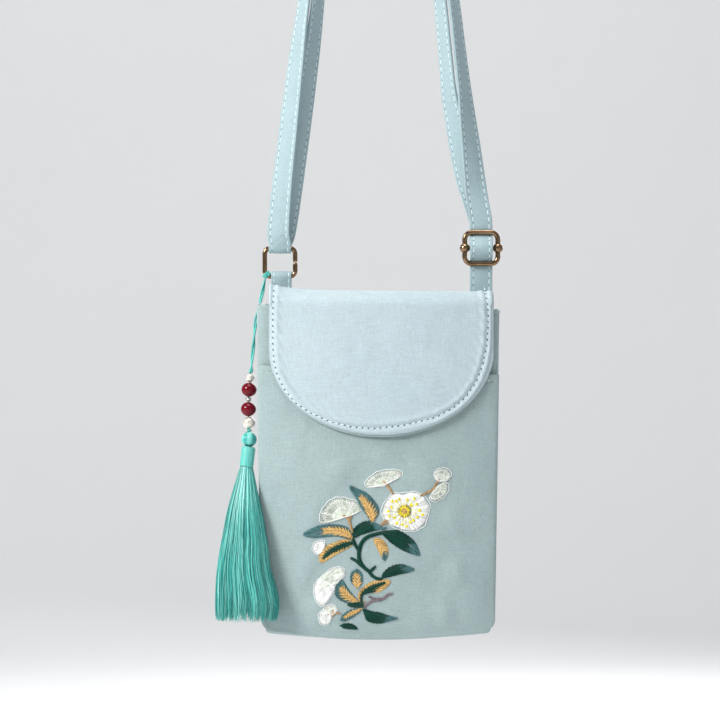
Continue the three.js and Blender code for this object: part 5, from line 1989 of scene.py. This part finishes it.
class PurseClothSettings(bpy.types.PropertyGroup):
    body_colour: colour_value(
        "Body cloth", "Colour of the pouch and the slip pocket", (0.316, 0.401, 0.405))
    flap_lit_colour: colour_value("Flap cloth", "Colour of the flap", (0.435, 0.525, 0.56))
    # The flap's colour is the body's cloth painted lighter: painted light where the flap catches
    # more light from above
    strap_colour: colour_value(
        "Strap cloth", "Colour of the strap and the ring's tab", (0.32, 0.43, 0.46))
    weave_pitch: FloatProperty(
        name="Weave pitch", description="Distance between yarns of the cloth, in millimetres",
        default=0.46, min=0.2, max=2)
    thread_colour: colour_value(
        "Sewing thread", "Colour of the sewing thread", (0.70, 0.80, 0.82))
    # Dark colour of the needle holes: painted shade that stands in for the shade inside each hole
    hole_shade_colour: colour_value(
        "Needle holes", "Colour in the needle holes", (0.045, 0.085, 0.11))


class PurseEmbroiderySettings(bpy.types.PropertyGroup):
    stitch_spacing: FloatProperty(
        name="Stitch spacing", description="Distance between stitches, in millimetres",
        default=0.36, min=0.2, max=1)
    floss_radius: FloatProperty(
        name="Floss radius", description="Half the thickness of the embroidery floss",
        default=0.21 * MM, min=0.05 * MM, max=1 * MM, unit="LENGTH", precision=5)
    seed: IntProperty(
        name="Seed", description="Seed of the uneven stitches and strands", default=7, min=0)


class PurseCharmSettings(bpy.types.PropertyGroup):
    silk_colour: colour_value(
        "Silk", "Colour of the tassel and its cord", (0.040, 0.40, 0.355))
    pearl_colour: colour_value("Pearls", "Colour of the pearl beads", (0.66, 0.63, 0.56))
    bead_colour: colour_value("Red beads", "Colour of the red beads", (0.125, 0.0003, 0.007))
    # The metal's gold tone is set dark as painted reflection of a dark room
    metal_colour_with_dark_reflection: colour_value("Metal", "Colour of the ring and the slider", (0.30, 0.19, 0.11))
    strands: IntProperty(
        name="Skirt threads", description="How many threads the skirt of the tassel has",
        default=1150, min=50, max=1500)


KIT = {}


def kit(scene):
    """The finishes and sizes that the pieces share, made once."""
    if not KIT:
        cloth, sewing, charm = scene.purse_cloth, scene.purse_embroidery, scene.purse_charm
        silk = tuple(charm.silk_colour)
        KIT.update(
            cloth=sewing_cloth("Pouch cloth", tuple(cloth.body_colour), cloth.weave_pitch),
            flap_cloth=sewing_cloth("Flap cloth", tuple(cloth.flap_lit_colour), cloth.weave_pitch),
            strap_cloth=sewing_cloth("Strap cloth", tuple(cloth.strap_colour), cloth.weave_pitch),
            thread=seam_thread("Sewing thread", tuple(cloth.thread_colour)),
            hole=painted_hole_shade("Needle hole", tuple(cloth.hole_shade_colour)),
            metal=light_gold("Light gold plate", tuple(charm.metal_colour_with_dark_reflection)),
            pearl=pearl("Pearl", tuple(charm.pearl_colour)),
            red=agate("Red stone", tuple(charm.bead_colour)),
            silver=worn_silver("Cast silver"),
            cord_silk=teal_silk("Cord silk", silk, 0.45),
            # The silk at 0.7 of its colour for the cores under the tassel's threads: painted shade
            # deep inside the head, wrap and skirt
            deep_silk=teal_silk("Deep silk", tuple(c * 0.7 for c in silk), 0.5),
            skirt_silk=teal_silk("Tassel silk", silk, 0.27, tinted=True),
            floss=dyed_and_shaded_thread("Embroidery floss"),
            stitch_spacing=sewing.stitch_spacing,
            thread_radius=sewing.floss_radius,
            seed=sewing.seed,
            strands=charm.strands,
        )
    return KIT


class PieceOperator:
    """What every piece operator shares: it builds with the shared finishes."""

    bl_options = {"REGISTER", "UNDO"}

    def execute(self, context):
        self.build(kit(context.scene))
        return {"FINISHED"}


# The front view: the camera's distance, what its frame spans there, and where it looks along
CAMERA_AWAY, FRAME_SPAN, SENSOR = 1.5, 0.36864, 36
CAMERA_X, CAMERA_Z = -0.00922, -0.33792
LIT_AT = Vector((0, 0, -0.36))
# The floor runs from in front of the purse to a rounded corner and up behind it
FLOOR_Z, FLOOR_HALF, CORNER_RADIUS, WALL_Y, WALL_TOP, FRONT_Y = -0.66, 6, 0.9, 2.5, 3.5, -6
LIGHTS = (
    # name, place, size, power, colour
    ("Window", (-1.25, -0.9, 0.45), 0.6, 36, (1.0, 0.985, 0.96)),
    ("Room", (1.2, -1.2, -0.1), 1.4, 1.5, (0.95, 0.98, 1.0)),
    ("Ceiling", (0.0, -0.35, 1.2), 1.0, 17, (1, 1, 1)),
    ("Behind", (0.3, 1.3, 0.3), 1.2, 9, (1, 1, 1)),
)


def front_camera(scene):
    """A level camera on the front view."""
    camera = bpy.data.objects.new("Camera", bpy.data.cameras.new("Camera"))
    scene.collection.objects.link(camera)
    scene.camera = camera
    camera.data.sensor_width = SENSOR
    camera.data.lens = SENSOR * CAMERA_AWAY / FRAME_SPAN
    camera.data.clip_end = 50
    camera.location = (CAMERA_X, -CAMERA_AWAY, CAMERA_Z)
    camera.rotation_euler = (math.pi / 2, 0, 0)


def pale_floor():
    """A floor that rounds up into a wall behind the purse."""
    profile = [Vector((FRONT_Y, FLOOR_Z))]
    for k in range(17):
        a = math.pi / 2 * k / 16
        profile.append(Vector((WALL_Y - CORNER_RADIUS + CORNER_RADIUS * math.sin(a),
                               FLOOR_Z + CORNER_RADIUS - CORNER_RADIUS * math.cos(a))))
    profile.append(Vector((WALL_Y, WALL_TOP)))
    points = [Vector((x, p.x, p.y)) / MM for x in (-FLOOR_HALF, FLOOR_HALF) for p in profile]
    n = len(profile)
    floor = place_mesh("pale_floor", points, [(k, k + 1, n + k + 1, n + k) for k in range(n - 1)])
    s = Shader("Pale floor")
    tone = s.noise(s.place(), 3, 2)
    base = s.blend(tone, (0.87, 0.87, 0.875, 1), (0.90, 0.90, 0.905, 1))
    s.set(Base_Color=base, Roughness=0.9)
    floor.data.materials.append(s.material)


def soft_light(scene):
    """A dim sky, a window on the left and weak lights round the room."""
    world = bpy.data.worlds.new("Soft room")
    scene.world = world
    scene.view_settings.view_transform = "Standard"
    world.use_nodes = True
    sky = world.node_tree.nodes["Background"]
    sky.inputs["Color"].default_value = (0.93, 0.96, 1.0, 1)
    sky.inputs["Strength"].default_value = 0.4
    for name, at, size, power, colour in LIGHTS:
        lamp = bpy.data.lights.new(name, "AREA")
        lamp.shape, lamp.size, lamp.energy, lamp.color = "SQUARE", size, power, colour
        holder = bpy.data.objects.new(name, lamp)
        scene.collection.objects.link(holder)
        holder.location = at
        holder.rotation_euler = (LIT_AT - Vector(at)).to_track_quat("-Z", "Y").to_euler()


class PURSE_OT_stage(bpy.types.Operator):
    """Lay the pale floor and set the soft lights and the camera of the front view"""

    bl_idname = "purse.stage"
    bl_label = "Stage"

    def execute(self, context):
        front_camera(context.scene)
        pale_floor()
        soft_light(context.scene)
        return {"FINISHED"}


class PURSE_OT_cords(PieceOperator, bpy.types.Operator):
    """Lay the charm's silk cord, its hitch on the ring, its knots and the thread of the beads"""

    bl_idname = "purse.cords"
    bl_label = "Charm cord"
    build = staticmethod(silk_cords)


class PURSE_OT_pouch(PieceOperator, bpy.types.Operator):
    """Sew the pouch with its open mouth"""

    bl_idname = "purse.pouch"
    bl_label = "Pouch"
    build = staticmethod(sewn_pouch)


class PURSE_OT_pocket(PieceOperator, bpy.types.Operator):
    """Sew the slip pocket on the front"""

    bl_idname = "purse.pocket"
    bl_label = "Slip pocket"
    build = staticmethod(slip_pocket)


class PURSE_OT_flap(PieceOperator, bpy.types.Operator):
    """Sew the flap with its facing"""

    bl_idname = "purse.flap"
    bl_label = "Flap"
    build = staticmethod(sewn_flap)


class PURSE_OT_strap(PieceOperator, bpy.types.Operator):
    """Weave the long strap through the slider, over its top bend and round the ring"""

    bl_idname = "purse.strap"
    bl_label = "Strap"
    build = staticmethod(woven_strap)


class PURSE_OT_tab(PieceOperator, bpy.types.Operator):
    """Fold the cloth tab round the ring"""

    bl_idname = "purse.tab"
    bl_label = "Ring tab"
    build = staticmethod(ring_tab)


class PURSE_OT_hardware(PieceOperator, bpy.types.Operator):
    """Bend the ring and the slider"""

    bl_idname = "purse.hardware"
    bl_label = "Ring and slider"
    build = staticmethod(hardware)


class PURSE_OT_beads(PieceOperator, bpy.types.Operator):
    """Turn the beads of the charm"""

    bl_idname = "purse.beads"
    bl_label = "Beads"
    build = staticmethod(charm_beads)


class PURSE_OT_tassel(PieceOperator, bpy.types.Operator):
    """Wind the tassel's head and hang its skirt of threads"""

    bl_idname = "purse.tassel"
    bl_label = "Tassel"
    build = staticmethod(silk_tassel)


class PURSE_OT_seams(PieceOperator, bpy.types.Operator):
    """Stitch the edge of the flap and the hem of the pocket"""

    bl_idname = "purse.seams"
    bl_label = "Seams"
    build = staticmethod(seam_rows)


class PURSE_OT_embroidery(PieceOperator, bpy.types.Operator):
    """Sew the flowering branch on the pocket"""

    bl_idname = "purse.embroidery"
    bl_label = "Embroidery"
    build = staticmethod(embroidery)


ORDER = (
    PURSE_OT_stage, PURSE_OT_cords, PURSE_OT_pouch, PURSE_OT_pocket, PURSE_OT_flap, PURSE_OT_strap,
    PURSE_OT_tab,
    PURSE_OT_hardware, PURSE_OT_beads, PURSE_OT_tassel, PURSE_OT_seams, PURSE_OT_embroidery,
)


class PURSE_PT_panel(bpy.types.Panel):
    """Sizes, colours and pieces of the purse"""

    bl_idname = "PURSE_PT_panel"
    bl_label = "Embroidered purse"
    bl_space_type = "VIEW_3D"
    bl_region_type = "UI"
    bl_category = "Purse"

    def draw(self, context):
        scene = context.scene
        for group in (scene.purse_cloth, scene.purse_embroidery, scene.purse_charm):
            box = self.layout.box()
            for name in group.__annotations__:
                box.prop(group, name)
        column = self.layout.column(align=True)
        for piece in ORDER:
            column.operator(piece.bl_idname)


CLASSES = (PurseClothSettings, PurseEmbroiderySettings, PurseCharmSettings, *ORDER, PURSE_PT_panel)


def register():
    for each in CLASSES:
        bpy.utils.register_class(each)
    bpy.types.Scene.purse_cloth = PointerProperty(type=PurseClothSettings)
    bpy.types.Scene.purse_embroidery = PointerProperty(type=PurseEmbroiderySettings)
    bpy.types.Scene.purse_charm = PointerProperty(type=PurseCharmSettings)


def unregister():
    del bpy.types.Scene.purse_charm
    del bpy.types.Scene.purse_embroidery
    del bpy.types.Scene.purse_cloth
    for each in reversed(CLASSES):
        bpy.utils.unregister_class(each)


def main():
    register()
    for piece in ORDER:
        group, name = piece.bl_idname.split(".")
        getattr(getattr(bpy.ops, group), name)()


if __name__ == "__main__":
    main()
